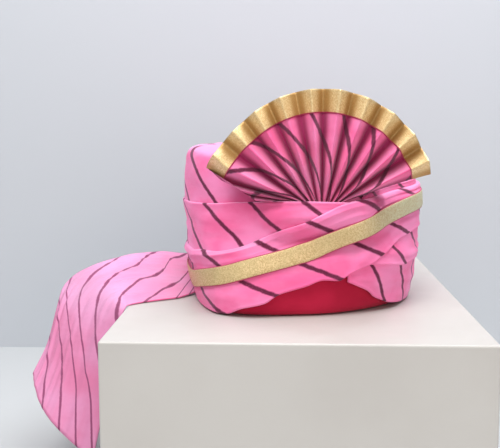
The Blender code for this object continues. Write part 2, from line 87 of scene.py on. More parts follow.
def table_value(rows: Rows, column: int, at: np.ndarray | float) -> np.ndarray:
    """Read a column of a table on a smooth line through its rows that never overshoots them.

    Args:
        rows: Table rows, the first number of each being its place.
        column: Column to read.
        at: Places to read at.

    Returns:
        The values at those places.
    """
    places = np.array([row[0] for row in rows], float)
    values = np.array([row[column] for row in rows], float)
    rise = np.diff(values) / np.diff(places)
    before, after = rise[:-1], rise[1:]
    same_way = before * after > 0.0
    total = np.where(same_way, before + after, 1.0)
    slope = np.concatenate([rise[:1], np.where(same_way, 2.0 * before * after / total, 0.0), rise[-1:]])
    at = np.clip(at, places[0], places[-1])
    row = np.clip(np.searchsorted(places, at, side="right") - 1, 0, len(places) - 2)
    width = places[row + 1] - places[row]
    part = (at - places[row]) / width
    start = values[row] * (1.0 + 2.0 * part) * (1.0 - part) ** 2
    end = values[row + 1] * part * part * (3.0 - 2.0 * part)
    curve = slope[row] * (1.0 - part) - slope[row + 1] * part
    return start + end + width * part * (1.0 - part) * curve


def smooth_step(value: np.ndarray | float) -> np.ndarray:
    """Rise softly from 0 to 1 as the value goes from 0 to 1."""
    value = np.clip(value, 0.0, 1.0)
    return value * value * (3.0 - 2.0 * value)


def signed_power(value: np.ndarray, power: float) -> np.ndarray:
    """Raise a size to a power and keep its sign."""
    return np.sign(value) * np.abs(value) ** power


def half_turn(turn: np.ndarray | float) -> np.ndarray:
    """Bring a turn in degrees to the range from -180 to 180."""
    return (np.asarray(turn, float) + 180.0) % 360.0 - 180.0


def soft_noise(u: np.ndarray, v: np.ndarray, seed: int, waves: int = 7) -> np.ndarray:
    """Give a smooth uneven value from a fixed set of crossing waves.

    Args:
        u: First coordinate, one unit being about one bump.
        v: Second coordinate in the same unit.
        seed: Number that picks the set of waves.
        waves: Number of waves in the set.

    Returns:
        Values of about -1 to 1.
    """
    draw = np.random.default_rng(seed)
    total = np.zeros(np.broadcast(u, v).shape)
    for _ in range(waves):
        angle, phase = draw.uniform(0.0, 2.0 * math.pi, 2)
        pitch = draw.uniform(*NOISE_PITCH)
        total += np.sin(2.0 * math.pi * pitch * (u * math.cos(angle) + v * math.sin(angle)) + phase)
    return total / math.sqrt(waves) * NOISE_LEVEL


@dataclass(frozen=True)
class WoundBody:
    """Rounded plan and upright section that everything is wound on."""

    width: float = 0.209
    depth: float = 0.252
    height: float = 0.1335
    foot: float = 0.1505
    centre_x: float = 0.006
    centre_y: float = 0.002
    squareness: float = 2.35
    probe_turn: float = 1.5
    probe_height: float = 0.05
    probe_top: float = 0.995
    profile: Rows = (
        (-0.02, 0.910), (0.00, 0.915), (0.06, 0.935), (0.19, 0.965), (0.34, 0.985), (0.49, 0.995),
        (0.60, 0.985), (0.75, 0.965), (0.85, 0.945), (0.91, 0.915), (0.95, 0.860), (0.98, 0.740),
        (0.995, 0.470), (1.00, 0.000),
    )
    flare_top: float = 0.50
    flare: Rows = (
        (-180, 0.0), (-90, 0.0), (-71, 0.012), (-60, 0.035), (-50, 0.075), (-40, 0.130), (-32, 0.165),
        (-24, 0.165), (-17, 0.145), (-9, 0.115), (0, 0.085), (12, 0.050), (25, 0.015), (38, 0.0),
        (180, 0.0),
    )

    def surface(self, turn: np.ndarray, height: np.ndarray) -> np.ndarray:
        """Place on the bare body.

        Args:
            turn: Degrees from the front towards +X.
            height: Share of the body's height.

        Returns:
            Points, with x, y and z on the last axis.
        """
        width = table_value(self.profile, 1, height)
        angle = np.radians(turn)
        power = 2.0 / self.squareness
        across = 0.5 * self.width * width * signed_power(np.sin(angle), power)
        ahead = 0.5 * self.depth * width * signed_power(np.cos(angle), power)
        bulge = 0.5 * self.depth * table_value(self.flare, 1, half_turn(turn))
        bulge = bulge * (1.0 - smooth_step(height / self.flare_top))
        x = self.centre_x + across + bulge * np.sin(angle)
        y = self.centre_y - ahead - bulge * np.cos(angle)
        z = np.broadcast_to(self.foot + self.height * height, x.shape)
        return np.stack([x, y, z], -1)

    def point(self, turn: np.ndarray, height: np.ndarray, out: np.ndarray | float) -> np.ndarray:
        """Place a distance out from the body along the way it faces there.

        Args:
            turn: Degrees from the front towards +X.
            height: Share of the body's height.
            out: Distance out in metres.

        Returns:
            Points, with x, y and z on the last axis.
        """
        turn, height, out = np.broadcast_arrays(turn, height, out)
        along = self.surface(turn + self.probe_turn, height) - self.surface(turn - self.probe_turn, height)
        low = np.clip(height - self.probe_height, 0.0, self.probe_top)
        high = np.clip(height + self.probe_height, 0.0, self.probe_top)
        up = self.surface(turn, high) - self.surface(turn, low)
        facing = np.cross(along, up)
        length = np.linalg.norm(facing, axis=-1, keepdims=True)
        return self.surface(turn, height) + facing / np.maximum(length, TINY) * out[..., None]

    def girth(self, turn: np.ndarray | float) -> np.ndarray:
        """Measure round the body's middle from the front.

        Args:
            turn: Degrees from the front towards +X.

        Returns:
            Distance to that turn in metres, less than 0 on the left.
        """
        turns = np.arange(-540.0, 540.5, 0.5)
        ring = self.surface(turns, np.full(len(turns), 0.5))
        steps = np.linalg.norm(np.diff(ring, axis=0), axis=1)
        run = np.concatenate([[0.0], np.cumsum(steps)])
        return np.interp(turn, turns, run) - np.interp(0.0, turns, run)

    def whole_girth(self) -> float:
        """Distance once round the body's middle, in metres."""
        return float(self.girth(180.0) - self.girth(-180.0))


@dataclass(frozen=True)
class Window:
    """Patch of turns and heights that fades softly at its sides and below."""

    first: float
    last: float
    fade: float
    low: float
    high: float

    def share(self, turn: np.ndarray, height: np.ndarray) -> np.ndarray:
        """Read how much of the patch is at some places.

        Args:
            turn: Degrees from the front towards +X.
            height: Share of the body's height.

        Returns:
            Values of 1 inside the patch and 0 well outside it.
        """
        turn = half_turn(turn)
        sideways = smooth_step((turn - self.first) / self.fade) * smooth_step((self.last - turn) / self.fade)
        return sideways * smooth_step((height - self.low) / (self.high - self.low))


@dataclass
class ClothLayers:
    """How far out the cloth wound so far stands, on a fine grid of turns and heights."""

    body: WoundBody
    turn_step: float = 0.5
    height_step: float = 0.0005
    lowest: float = -0.02
    drape: float = 0.0085
    edge_fall: float = 0.0045
    plan_roundness: float = 1.1
    softening: int = 6
    out: np.ndarray = field(init=False)

    def __post_init__(self) -> None:
        """Start with bare body everywhere."""
        self.turns = np.arange(-180.0, 180.0, self.turn_step)
        self.heights = np.arange(self.lowest, 1.0, self.height_step / self.body.height)
        self.out = np.zeros((len(self.heights), len(self.turns)))

    def read(self, values: np.ndarray, turn: np.ndarray, height: np.ndarray) -> np.ndarray:
        """Read a grid of values between its points.

        Args:
            values: Grid of the same size as the layers.
            turn: Degrees from the front towards +X.
            height: Share of the body's height.

        Returns:
            The values there.
        """
        turn, height = np.broadcast_arrays(np.asarray(turn, float), np.asarray(height, float))
        column = ((turn + 180.0) % 360.0) / self.turn_step
        row = (height - self.heights[0]) / (self.heights[1] - self.heights[0])
        row = np.clip(row, 0, len(self.heights) - 1.001)
        left, low = column.astype(int) % len(self.turns), row.astype(int)
        right = (left + 1) % len(self.turns)
        part, rise = column - np.floor(column), row - low
        lower = values[low, left] * (1.0 - part) + values[low, right] * part
        upper = values[low + 1, left] * (1.0 - part) + values[low + 1, right] * part
        return lower * (1.0 - rise) + upper * rise

    def draped(self) -> np.ndarray:
        """Shape the surface that the next cloth lies on: it leaves each edge below it on a soft slope.

        Returns:
            Grid of distances out from the body.
        """
        surface = self.out.copy()
        reach = int(self.drape / self.height_step)
        turn_run = self.turn_step / 360.0 * math.pi * self.body.width * self.plan_roundness
        for axis, step in ((0, self.height_step), (1, turn_run)):
            start = surface.copy()
            for shift in range(1, int(self.drape / step) + 1):
                fall = self.edge_fall * smooth_step(shift * step / self.drape)
                for way in (-shift, shift):
                    moved = np.roll(start, way, axis)
                    if axis == 0:
                        moved[slice(0, way) if way > 0 else slice(way, None)] = 0.0
                    surface = np.maximum(surface, moved - fall)
        return self.softened(surface, max(1, reach // self.softening))

    @staticmethod
    def softened(values: np.ndarray, reach: int) -> np.ndarray:
        """Average a grid with its neighbours twice, round the turns and up the heights.

        Args:
            values: Grid of heights by turns.
            reach: Neighbours to each side that count.

        Returns:
            The softer grid.
        """
        for _ in range(2):
            for axis in (0, 1):
                pad = [(reach, reach) if axis == place else (0, 0) for place in (0, 1)]
                wide = np.pad(values, pad, mode="edge" if axis == 0 else "wrap")
                count = values.shape[axis]
                pieces = [np.take(wide, range(shift, shift + count), axis) for shift in range(2 * reach + 1)]
                values = np.mean(pieces, axis=0)
        return values


@dataclass(frozen=True)
class ClothMap:
    """Two numbers for every point of a cloth grid, kept as a UV map."""

    name: str
    first: np.ndarray
    second: np.ndarray


def placed(name: str, data: bpy.types.ID) -> bpy.types.Object:
    """Put new data into the scene as an object.

    Args:
        name: Name of the object.
        data: Its mesh, light or camera.

    Returns:
        The object.
    """
    obj = bpy.data.objects.new(name, data)
    bpy.context.scene.collection.objects.link(obj)
    return obj


def shell_mesh(name: str, outer: np.ndarray, inner: np.ndarray, closed: bool,
               maps: list[ClothMap]) -> bpy.types.Object:
    """Build a closed shell of cloth from an outer and an inner grid.

    Args:
        name: Name of the piece.
        outer: Grid of outer points, rows by columns by 3.
        inner: Grid of inner points of the same size.
        closed: Whether the last column joins the first.
        maps: UV maps, with one more column than the grid where it is closed.

    Returns:
        The new object.
    """
    rows, columns = outer.shape[:2]
    count = rows * columns
    step = columns if closed else columns - 1
    row, column = np.meshgrid(np.arange(rows - 1), np.arange(step), indexing="ij")
    row, column = row.ravel(), column.ravel()
    after = (column + 1) % columns
    front = np.stack([row * columns + column, row * columns + after,
                      (row + 1) * columns + after, (row + 1) * columns + column], 1)
    spots = np.stack([np.stack([row, column], 1), np.stack([row, column + 1], 1),
                      np.stack([row + 1, column + 1], 1), np.stack([row + 1, column], 1)], 1)
    faces, places = [front, front[:, ::-1] + count], [spots, spots[:, ::-1]]
    ring = np.arange(step)
    for at, flip in ((0, True), (rows - 1, False)):
        edge = np.stack([at * columns + ring, at * columns + (ring + 1) % columns], 1)
        faces.append(rim_faces(edge, count, flip))
        spot = np.stack([np.full(step, at), ring], 1)
        places.append(rim_spots(spot, spot + (0, 1), flip))
    if not closed:
        line = np.arange(rows - 1)
        for at, flip in ((0, False), (columns - 1, True)):
            edge = np.stack([line * columns + at, (line + 1) * columns + at], 1)
            faces.append(rim_faces(edge, count, flip))
            spot = np.stack([line, np.full(rows - 1, at)], 1)
            places.append(rim_spots(spot, spot + (1, 0), flip))
    points = np.concatenate([outer.reshape(-1, 3), inner.reshape(-1, 3)])
    mesh = bpy.data.meshes.new(name)
    mesh.from_pydata(points.tolist(), [], np.concatenate(faces).tolist())
    corner = np.concatenate(places).reshape(-1, 2)
    for item in maps:
        layer = mesh.uv_layers.new(name=item.name)
        pair = np.stack([item.first[corner[:, 0], corner[:, 1]], item.second[corner[:, 0], corner[:, 1]]], 1)
        layer.uv.foreach_set("vector", pair.astype(np.float32).ravel())
    mesh.shade_smooth()
    return placed(name, mesh)


def rim_faces(edge: np.ndarray, count: int, flip: bool) -> np.ndarray:
    """Faces that join an edge of the outer grid to the same edge of the inner one."""
    faces = np.stack([edge[:, 0], edge[:, 1], edge[:, 1] + count, edge[:, 0] + count], 1)
    return faces[:, ::-1] if flip else faces


def rim_spots(start: np.ndarray, end: np.ndarray, flip: bool) -> np.ndarray:
    """Grid places of the corners of an edge's faces, in the faces' order."""
    spots = np.stack([start, end, end, start], 1)
    return spots[:, ::-1] if flip else spots


@dataclass(frozen=True)
class StripeLayout:
    """Dark stripes of one wrap, each given by points it runs through: degrees of turn and metres up."""

    lines: tuple[Rows, ...]
    first: int = 0
    hold: float = 0.022
    calm: float = 0.35
    back: float = 100.0

    def phase(self, body: WoundBody, turn: np.ndarray, rise: np.ndarray) -> np.ndarray:
        """Number the stripes over the cloth: whole numbers lie on a stripe.

        Args:
            body: The body the cloth lies on.
            turn: Degrees from the front towards +X.
            rise: Metres up the body.

        Returns:
            The stripe number at each place.
        """
        turns = np.array([point[0] for line in self.lines for point in line])
        rises = np.array([point[1] for line in self.lines for point in line])
        numbers = np.array([self.first + index for index, line in enumerate(self.lines) for _ in line], float)
        runs = body.girth(turns)
        plane = np.stack([runs, rises, np.ones(len(runs))], 1)
        slope = np.linalg.lstsq(plane, numbers, rcond=None)[0]
        missing = numbers - plane @ slope
        run = body.girth(turn)
        base = slope[0] * run + slope[1] * rise + slope[2]
        weight = np.full(run.shape, self.calm)
        pull = np.zeros(run.shape)
        for at_run, at_rise, amount in zip(runs, rises, missing):
            near = np.exp(-((run - at_run) ** 2 + (rise - at_rise) ** 2) / self.hold ** 2)
            weight += near
            pull += near * amount
        once_round = slope[0] * body.whole_girth()
        spare = (round(once_round) - once_round) * 0.5
        behind = np.sign(turn) * smooth_step((np.abs(turn) - self.back) / (180.0 - self.back))
        return base + pull / weight + spare * behind


class Finish:
    """One material's node tree, with short ways to add nodes and join them."""

    def __init__(self, name: str) -> None:
        """Make a material that ends in a Principled shader.

        Args:
            name: Name of the material.
        """
        self.material = bpy.data.materials.new(name)
        self.material.use_nodes = True
        self.tree = self.material.node_tree
        self.shader = self.tree.nodes["Principled BSDF"]

    def add(self, kind: str, **settings: object) -> bpy.types.Node:
        """Add a node and set its own properties.

        Args:
            kind: Blender's name for the kind of node.
            settings: Values of the node's properties.

        Returns:
            The node.
        """
        node = self.tree.nodes.new(kind)
        for key, value in settings.items():
            setattr(node, key, value)
        return node

    def fill(self, node: bpy.types.Node, values: dict[str | int, Socket | float | tuple]) -> Socket:
        """Link a node's inputs to sockets, or set them to plain values.

        Args:
            node: The node.
            values: Socket or plain value for each input, by its name or number.

        Returns:
            The node's first output.
        """
        for key, value in values.items():
            if isinstance(value, Socket):
                self.tree.links.new(value, node.inputs[key])
            else:
                node.inputs[key].default_value = value
        return node.outputs[0]

    def done(self, values: dict[str, Socket | float | tuple]) -> bpy.types.Material:
        """Set the shader's inputs by name, and hand over the material."""
        self.fill(self.shader, values)
        return self.material

    def work_out(self, operation: str, *values: Socket | float) -> Socket:
        """Add a Math node over one to three values."""
        return self.fill(self.add("ShaderNodeMath", operation=operation), dict(enumerate(values)))

    def split(self, source: Socket) -> bpy.types.NodeOutputs:
        """Take a vector apart.

        Args:
            source: The vector.

        Returns:
            The outputs for its three numbers.
        """
        parts = self.add("ShaderNodeSeparateXYZ")
        self.fill(parts, {0: source})
        return parts.outputs

    def uv(self, name: str) -> tuple[Socket, Socket]:
        """Both numbers of a piece's own UV map."""
        parts = self.split(self.add("ShaderNodeUVMap", uv_map=name).outputs["UV"])
        return parts[0], parts[1]

    def facing_up(self) -> Socket:
        """How far the surface faces up: 1 straight up and 0 for an upright side."""
        return self.split(self.add("ShaderNodeNewGeometry").outputs["Normal"])["Z"]

    def noise(self, scale: float, detail: float = 2.0, stretch: Place = (1.0, 1.0, 1.0),
              roughness: float = 0.5) -> Socket:
        """Noise over the piece's own place in metres.

        Args:
            scale: Bumps to the metre.
            detail: Levels of finer noise.
            stretch: Factor on each axis.
            roughness: Share of the finer levels.

        Returns:
            The noise value, about 0 to 1.
        """
        place = self.add("ShaderNodeTexCoord").outputs["Object"]
        spread = self.fill(self.add("ShaderNodeMapping"), {"Vector": place, "Scale": stretch})
        settings = {"Vector": spread, "Scale": scale, "Detail": detail, "Roughness": roughness}
        return self.fill(self.add("ShaderNodeTexNoise"), settings)

    def ramp(self, value: Socket, low: float, high: float, to_low: float = 0.0,
             to_high: float = 1.0) -> Socket:
        """Map a value from one range to another, softly and without leaving it."""
        node = self.add("ShaderNodeMapRange", interpolation_type="SMOOTHSTEP")
        return self.fill(node, dict(enumerate((value, low, high, to_low, to_high))))

    def mix(self, share: Socket, first: Socket | Colour, second: Socket | Colour) -> Socket:
        """Mix two colours.

        Args:
            share: Share of the second colour.
            first: First colour.
            second: Second colour.

        Returns:
            The mixed colour.
        """
        node = self.add("ShaderNodeMix", data_type="RGBA")
        ends = [(*end, 1.0) if isinstance(end, tuple) else end for end in (first, second)]
        self.fill(node, {0: share, 6: ends[0], 7: ends[1]})
        return node.outputs[2]

    def bump(self, height: Socket, distance: float, strength: float = 1.0,
             below: Socket | None = None) -> Socket:
        """Raise the surface by a height value.

        Args:
            height: Height, 0 to 1.
            distance: Metres that a height of 1 stands for.
            strength: Share of the effect.
            below: Normal of a coarser bump under this one.

        Returns:
            The new normal.
        """
        values = {"Height": height, "Distance": distance, "Strength": strength}
        if below is not None:
            values["Normal"] = below
        return self.fill(self.add("ShaderNodeBump"), values)

    def thread_height(self, pitch: float) -> Socket:
        """Plain weave of crossing threads, from the piece's map named weave in metres.

        Args:
            pitch: Distance between two threads.

        Returns:
            Height, 0 to 1.
        """
        turns = 2.0 * math.pi / pitch
        ways = [self.work_out("MULTIPLY", way, turns) for way in self.uv("weave")]
        warp, weft = (self.work_out("SINE", way) for way in ways)
        return self.work_out("MULTIPLY_ADD", self.work_out("MULTIPLY", warp, weft), 0.5, 0.5)


@dataclass(frozen=True)
class StripedCotton:
    """Fine pink cotton with slanting dark stripes. Faces turned up get painted light, and painted shade
    darkens folds and shaded stretches by the second number of the stripes map.
    """

    name: str = "pink_striped_cotton"
    pink: Colour = (0.97, 0.290, 0.56)
    deep: Colour = (0.92, 0.140, 0.35)
    stripe: Colour = (0.125, 0.013, 0.045)
    painted_shade_colour: Colour = (0.300, 0.001, 0.075)
    between_threads: Colour = (0.55, 0.04, 0.17)
    painted_top_light: Colour = (0.94, 0.50, 0.80)
    sheen: Colour = (1.0, 0.72, 0.95)
    stripe_share: float = 0.052
    stripe_edge: tuple[float, float] = (0.020, 0.028)
    wobble: float = 0.05
    thread: float = 0.00048
    roughness: float = 0.82
    rough_spread: float = 0.06

    def material(self) -> bpy.types.Material:
        """Build the node material.

        Returns:
            The finished material.
        """
        finish = Finish(self.name)
        # the stripes map holds the stripe number and, second, the amount of painted shade
        phase, fold = finish.uv("stripes")
        wobble = finish.work_out("MULTIPLY_ADD", finish.noise(260.0, 3.0), self.wobble, -0.5 * self.wobble)
        place = finish.work_out("FRACT", finish.work_out("ADD", finish.work_out("ADD", phase, 0.5), wobble))
        off = finish.work_out("ABSOLUTE", finish.work_out("SUBTRACT", place, 0.5))
        core, rim = self.stripe_share - self.stripe_edge[0], self.stripe_share + self.stripe_edge[1]
        uneven = finish.ramp(finish.noise(1100.0, 2.0, roughness=0.7), 0.2, 0.5, 0.82, 1.0)
        dark = finish.work_out("MULTIPLY", finish.ramp(off, core, rim, 1.0, 0.0), uneven)
        dye = finish.ramp(finish.noise(18.0, 4.0, (1.0, 1.0, 1.6)), 0.34, 0.68)
        weave = finish.thread_height(self.thread)
        cloth = finish.mix(dye, self.deep, self.pink)
        cloth = finish.mix(finish.ramp(weave, 0.0, 1.0, 0.12, 0.0), cloth, self.between_threads)
        # painted light: faces turned up are mixed towards a paler lilac
        cloth = finish.mix(finish.ramp(finish.facing_up(), 0.45, 0.95, 0.0, 0.50), cloth, self.painted_top_light)
        # painted shade: the cloth is mixed towards a dark colour by the painted shade amount
        cloth = finish.mix(finish.ramp(fold, 0.0, 1.0), cloth, self.painted_shade_colour)
        smooth, rough = self.roughness - self.rough_spread, self.roughness + self.rough_spread
        crumple = finish.bump(finish.noise(34.0, 3.0, (1.0, 1.0, 2.4)), 0.0016, 0.60)
        return finish.done({
            "Base Color": finish.mix(dark, cloth, self.stripe),
            "Roughness": finish.ramp(finish.noise(90.0, 3.0), 0.3, 0.7, smooth, rough),
            "Normal": finish.bump(weave, 0.00007, 0.6, crumple),
            "Sheen Weight": 0.30,
            "Sheen Roughness": 0.45,
            "Sheen Tint": (*self.sheen, 1.0),
            "Specular IOR Level": 0.25,
        })


@dataclass(frozen=True)
class PlainRed:
    """Plain red cotton of the padded cap."""

    name: str = "red_cap_cotton"
    red: Colour = (0.60, 0.018, 0.066)
    deep: Colour = (0.48, 0.011, 0.046)
    between_threads: Colour = (0.16, 0.003, 0.015)
    thread: float = 0.0006

    def material(self) -> bpy.types.Material:
        """Build the node material.

        Returns:
            The finished material.
        """
        finish = Finish(self.name)
        weave = finish.thread_height(self.thread)
        shade = finish.mix(finish.ramp(finish.noise(20.0, 4.0), 0.3, 0.7), self.deep, self.red)
        soft = finish.bump(finish.noise(60.0, 3.0), 0.0008, 0.5)
        return finish.done({
            "Base Color": finish.mix(finish.ramp(weave, 0.0, 1.0, 0.25, 0.0), shade, self.between_threads),
            "Roughness": 0.9,
            "Normal": finish.bump(weave, 0.0001, 0.6, soft),
            "Sheen Weight": 0.05,
            "Specular IOR Level": 0.15,
        })


@dataclass(frozen=True)
class GoldWeave:
    """Metallic gold ribbon weave, with a painted pale silvery reflection along one stretch of its right
    flank, and a red thread along both edges.
    """

    name: str = "gold_ribbon_weave"
    pale: Colour = (0.80, 0.61, 0.33)
    deep: Colour = (0.53, 0.355, 0.15)
    cloudy: Colour = (0.62, 0.51, 0.25)
    reflection_colour: Colour = (0.68, 0.74, 0.54)
    edge: Colour = (0.52, 0.05, 0.13)
    painted_reflection_from: tuple[float, float] = (0.02, 0.11)
    painted_reflection_to: tuple[float, float] = (0.20, 0.32)
    painted_reflection_share: float = 0.75
    metallic: float = 0.40
    thread: float = 0.0007

    def material(self) -> bpy.types.Material:
        """Build the node material.

        Returns:
            The finished material.
        """
        finish = Finish(self.name)
        along, across = finish.uv("band")
        weave = finish.thread_height(self.thread)
        glint = finish.ramp(finish.noise(900.0, 3.0, roughness=0.75), 0.36, 0.64)
        cloud = finish.ramp(finish.noise(45.0, 3.0), 0.3, 0.7, 0.0, 0.45)
        gold = finish.mix(cloud, finish.mix(glint, self.deep, self.pale), self.cloudy)
        # painted reflection: along a stretch of the right flank the gold is mixed towards a pale silvery
        # colour, strongest on the glints
        starts = finish.ramp(along, *self.painted_reflection_from)
        ends = finish.ramp(along, *self.painted_reflection_to, self.painted_reflection_share, 0.0)
        painted_reflection = finish.work_out("MULTIPLY", starts, ends)
        painted_reflection = finish.work_out("MULTIPLY", painted_reflection, finish.ramp(glint, 0.0, 1.0, 0.3, 1.0))
        gold = finish.mix(painted_reflection, gold, self.reflection_colour)
        edge = finish.ramp(finish.work_out("ABSOLUTE", across), 0.89, 0.93)
        return finish.done({
            "Base Color": finish.mix(edge, gold, self.edge),
            "Metallic": finish.work_out("MULTIPLY_ADD", edge, -self.metallic, self.metallic),
            "Roughness": finish.ramp(glint, 0.0, 1.0, 0.58, 0.34),
            "Normal": finish.bump(finish.work_out("ADD", weave, glint), 0.00012, 0.8),
        })


@dataclass(frozen=True)
class GoldLace:
    """Metallic gold lace with ribs across its width and a knotted pattern, and painted shade in its pleat
    valleys.
    """

    name: str = "gold_lace_weave"
    pale: Colour = (1.00, 0.82, 0.47)
    deep: Colour = (0.62, 0.38, 0.14)
    painted_shade_colour: Colour = (0.44, 0.245, 0.070)
    edge: Colour = (0.52, 0.05, 0.13)
    metallic: float = 0.40
    rib: float = 0.0016
    knot_rows: float = 4.5

    def material(self) -> bpy.types.Material:
        """Build the node material.

        Returns:
            The finished material.
        """
        finish = Finish(self.name)
        along, across = finish.uv("band")
        fold, _ = finish.uv("fold")
        ribs = finish.work_out("SINE", finish.work_out("MULTIPLY", along, 2.0 * math.pi / self.rib))
        rows = finish.work_out("SINE", finish.work_out("MULTIPLY", across, 2.0 * math.pi * self.knot_rows))
        knots = finish.work_out("MULTIPLY_ADD", finish.work_out("MULTIPLY", ribs, rows), 0.5, 0.5)
        glint = finish.ramp(finish.noise(700.0, 3.0, roughness=0.75), 0.34, 0.66)
        height = finish.work_out("MULTIPLY_ADD", knots, 0.5, finish.work_out("MULTIPLY", glint, 0.5))
        gold = finish.mix(height, self.deep, self.pale)
        # painted shade: the lace darkens in its pleat valleys
        gold = finish.mix(finish.ramp(fold, 0.0, 1.0, 0.0, 0.85), gold, self.painted_shade_colour)
        line = finish.ramp(across, 0.035, 0.07, 1.0, 0.0)
        return finish.done({
            "Base Color": finish.mix(line, gold, self.edge),
            "Metallic": finish.work_out("MULTIPLY_ADD", line, -self.metallic, self.metallic),
            "Roughness": finish.ramp(glint, 0.0, 1.0, 0.5, 0.3),
            "Normal": finish.bump(height, 0.00025, 0.8),
        })


@dataclass(frozen=True)
class WhitePaint:
    """Smooth rolled white paint on board."""

    name: str = "white_block_paint"
    white: Colour = (0.570, 0.556, 0.524)
    worn: Colour = (0.530, 0.512, 0.480)

    def material(self) -> bpy.types.Material:
        """Build the node material.

        Returns:
            The finished material.
        """
        finish = Finish(self.name)
        cloud = finish.ramp(finish.noise(7.0, 5.0), 0.35, 0.7)
        return finish.done({
            "Base Color": finish.mix(cloud, self.white, self.worn),
            "Roughness": finish.ramp(finish.noise(25.0, 3.0), 0.3, 0.7, 0.38, 0.5),
            "Normal": finish.bump(finish.noise(420.0, 3.0), 0.00012, 0.35),
        })


@dataclass(frozen=True)
class StudioPaint:
    """Plain pale surface of the studio, see-through from behind where asked."""

    name: str
    shade: Colour
    one_sided: bool = False

    def material(self) -> bpy.types.Material:
        """Build the node material.

        Returns:
            The finished material.
        """
        finish = Finish(self.name)
        if self.one_sided:
            behind = finish.fill(finish.add("ShaderNodeMixShader"), {
                0: finish.add("ShaderNodeNewGeometry").outputs["Backfacing"],
                1: finish.shader.outputs[0],
                2: finish.add("ShaderNodeBsdfTransparent").outputs[0],
            })
            finish.tree.links.new(behind, finish.tree.nodes["Material Output"].inputs["Surface"])
        return finish.done({"Base Color": (*self.shade, 1.0), "Roughness": 0.95})


@dataclass(frozen=True)
class Dressing:
    """The finishes that the pieces share."""

    cotton: bpy.types.Material
    single_cotton: bpy.types.Material
    red: bpy.types.Material
    ribbon: bpy.types.Material
    lace: bpy.types.Material
    paint: bpy.types.Material


def file_piece(obj: bpy.types.Object, material: bpy.types.Material, slot: str,
               *nodes: str) -> bpy.types.Object:
    """Dress a piece, hang it on the body that it rides on, and hide the CAD parts that it stands for.

    Args:
        obj: The piece.
        material: Its finish.
        slot: Not used.
        nodes: CAD nodes that it stands for.

    Returns:
        The same piece.
    """
    obj.data.materials.clear()
    obj.data.materials.append(material)
    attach(obj, BODY)
    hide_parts(*nodes)
    LOG.info("%s: %d faces", obj.name, len(obj.data.polygons))
    return obj


@dataclass
class DisplayBlock:
    """White block that the turban stands on."""

    width: float = 0.284
    depth: float = 0.410
    height: float = 0.150
    edge: float = 0.0018

    def build(self, dressing: Dressing) -> bpy.types.Object:
        """Make the block with softly rounded edges.

        Args:
            dressing: The finishes.

        Returns:
            The piece.
        """
        bpy.ops.mesh.primitive_cube_add(size=1.0, location=(0.0, 0.0, 0.5 * self.height))
        block = bpy.context.object
        block.name = "white_block"
        block.scale = (self.width, self.depth, self.height)
        bpy.ops.object.transform_apply(location=False, rotation=False, scale=True)
        soften = block.modifiers.new("edge", "BEVEL")
        soften.width = self.edge
        soften.segments = 4
        block.data.shade_smooth()
        block.modifiers.new("flat_sides", "WEIGHTED_NORMAL")
        return file_piece(block, dressing.paint, "white_paint", "display_block")


DENT = Window(-62.0, 80.0, 40.0, 0.30, 0.46)
FOOT = Window(-22.0, 38.0, 16.0, 0.50, 0.60)
SHOULDER = Window(-150.0, -20.0, 35.0, 0.66, 0.90)
CORNER = Window(-160.0, -45.0, 28.0, 0.50, 0.54)
BESIDE_FAN = Window(-42.0, 20.0, 12.0, 0.55, 0.60)


@dataclass
class PaddedCap:
    """Red padded cap under the cloth, with an oval hollow for the head."""

    body: WoundBody
    inset: float = 0.0053
    wall: float = 0.0200
    roof: float = 0.0140
    under_cloth: float = 0.0031
    tuck: float = 0.0006
    tuck_top: float = 0.36
    lip: float = 0.0010
    lip_height: float = 0.006
    dent: float = 0.0072
    puff: float = 0.0005
    puff_size: float = 0.03
    top: float = 0.9985
    hollow_share: float = 0.985
    hollow_dome: float = 3.2
    hollow_power: float = 0.9
    columns: int = 240
    levels: int = 60

    def build(self, dressing: Dressing) -> bpy.types.Object:
        """Make the cap from its outside and its hollow.

        Args:
            dressing: The finishes.

        Returns:
            The piece.
        """
        body = self.body
        turns = np.arange(self.columns) * 360.0 / self.columns - 180.0
        level = self.top * np.sin(0.5 * math.pi * np.linspace(0.0, 1.0, self.levels)) ** 0.9
        turn, height = np.meshgrid(turns, level)
        lip = self.lip * smooth_step(1.0 - height * body.height / self.lip_height)
        lean = self.tuck * smooth_step(2.0 - 2.0 * height / self.tuck_top)
        up = height * body.height
        puff = self.puff * soft_noise(body.girth(turn) / self.puff_size, up / self.puff_size, 3)
        out = -self.under_cloth - lean - lip - self.dent * DENT.share(turn, height)
        outer = body.point(turn, height, out + puff * smooth_step(height / 0.1))
        rise = self.hollow_share * height
        narrow = self.hollow_share * np.sqrt(1.0 - rise ** self.hollow_dome)
        angle = np.radians(turn)
        half_width = 0.5 * body.width - self.inset - self.wall
        half_depth = 0.5 * body.depth - self.inset - self.wall
        clear = body.height - self.inset - self.roof
        x = body.centre_x + half_width * narrow * signed_power(np.sin(angle), self.hollow_power)
        y = body.centre_y - half_depth * narrow * signed_power(np.cos(angle), self.hollow_power)
        inner = np.stack([x, y, body.foot + clear * rise], -1)
        run, up = np.meshgrid(body.girth(np.append(turns, 180.0)), level * body.height)
        cap = shell_mesh("padded_red_cap", outer, inner, True, [ClothMap("weave", run, up)])
        file_piece(cap, dressing.red, "red_cloth", "padded_cap")
        return cap


CROWN_STRIPES = StripeLayout((
    ((-70.2, 0.1014), (-65.7, 0.0857), (-61.0, 0.0700)),
    ((-74.0, 0.1237), (-52.2, 0.1065), (-47.0, 0.0897)),
    ((-26.3, 0.1040), (-21.0, 0.0918)),
), first=2)


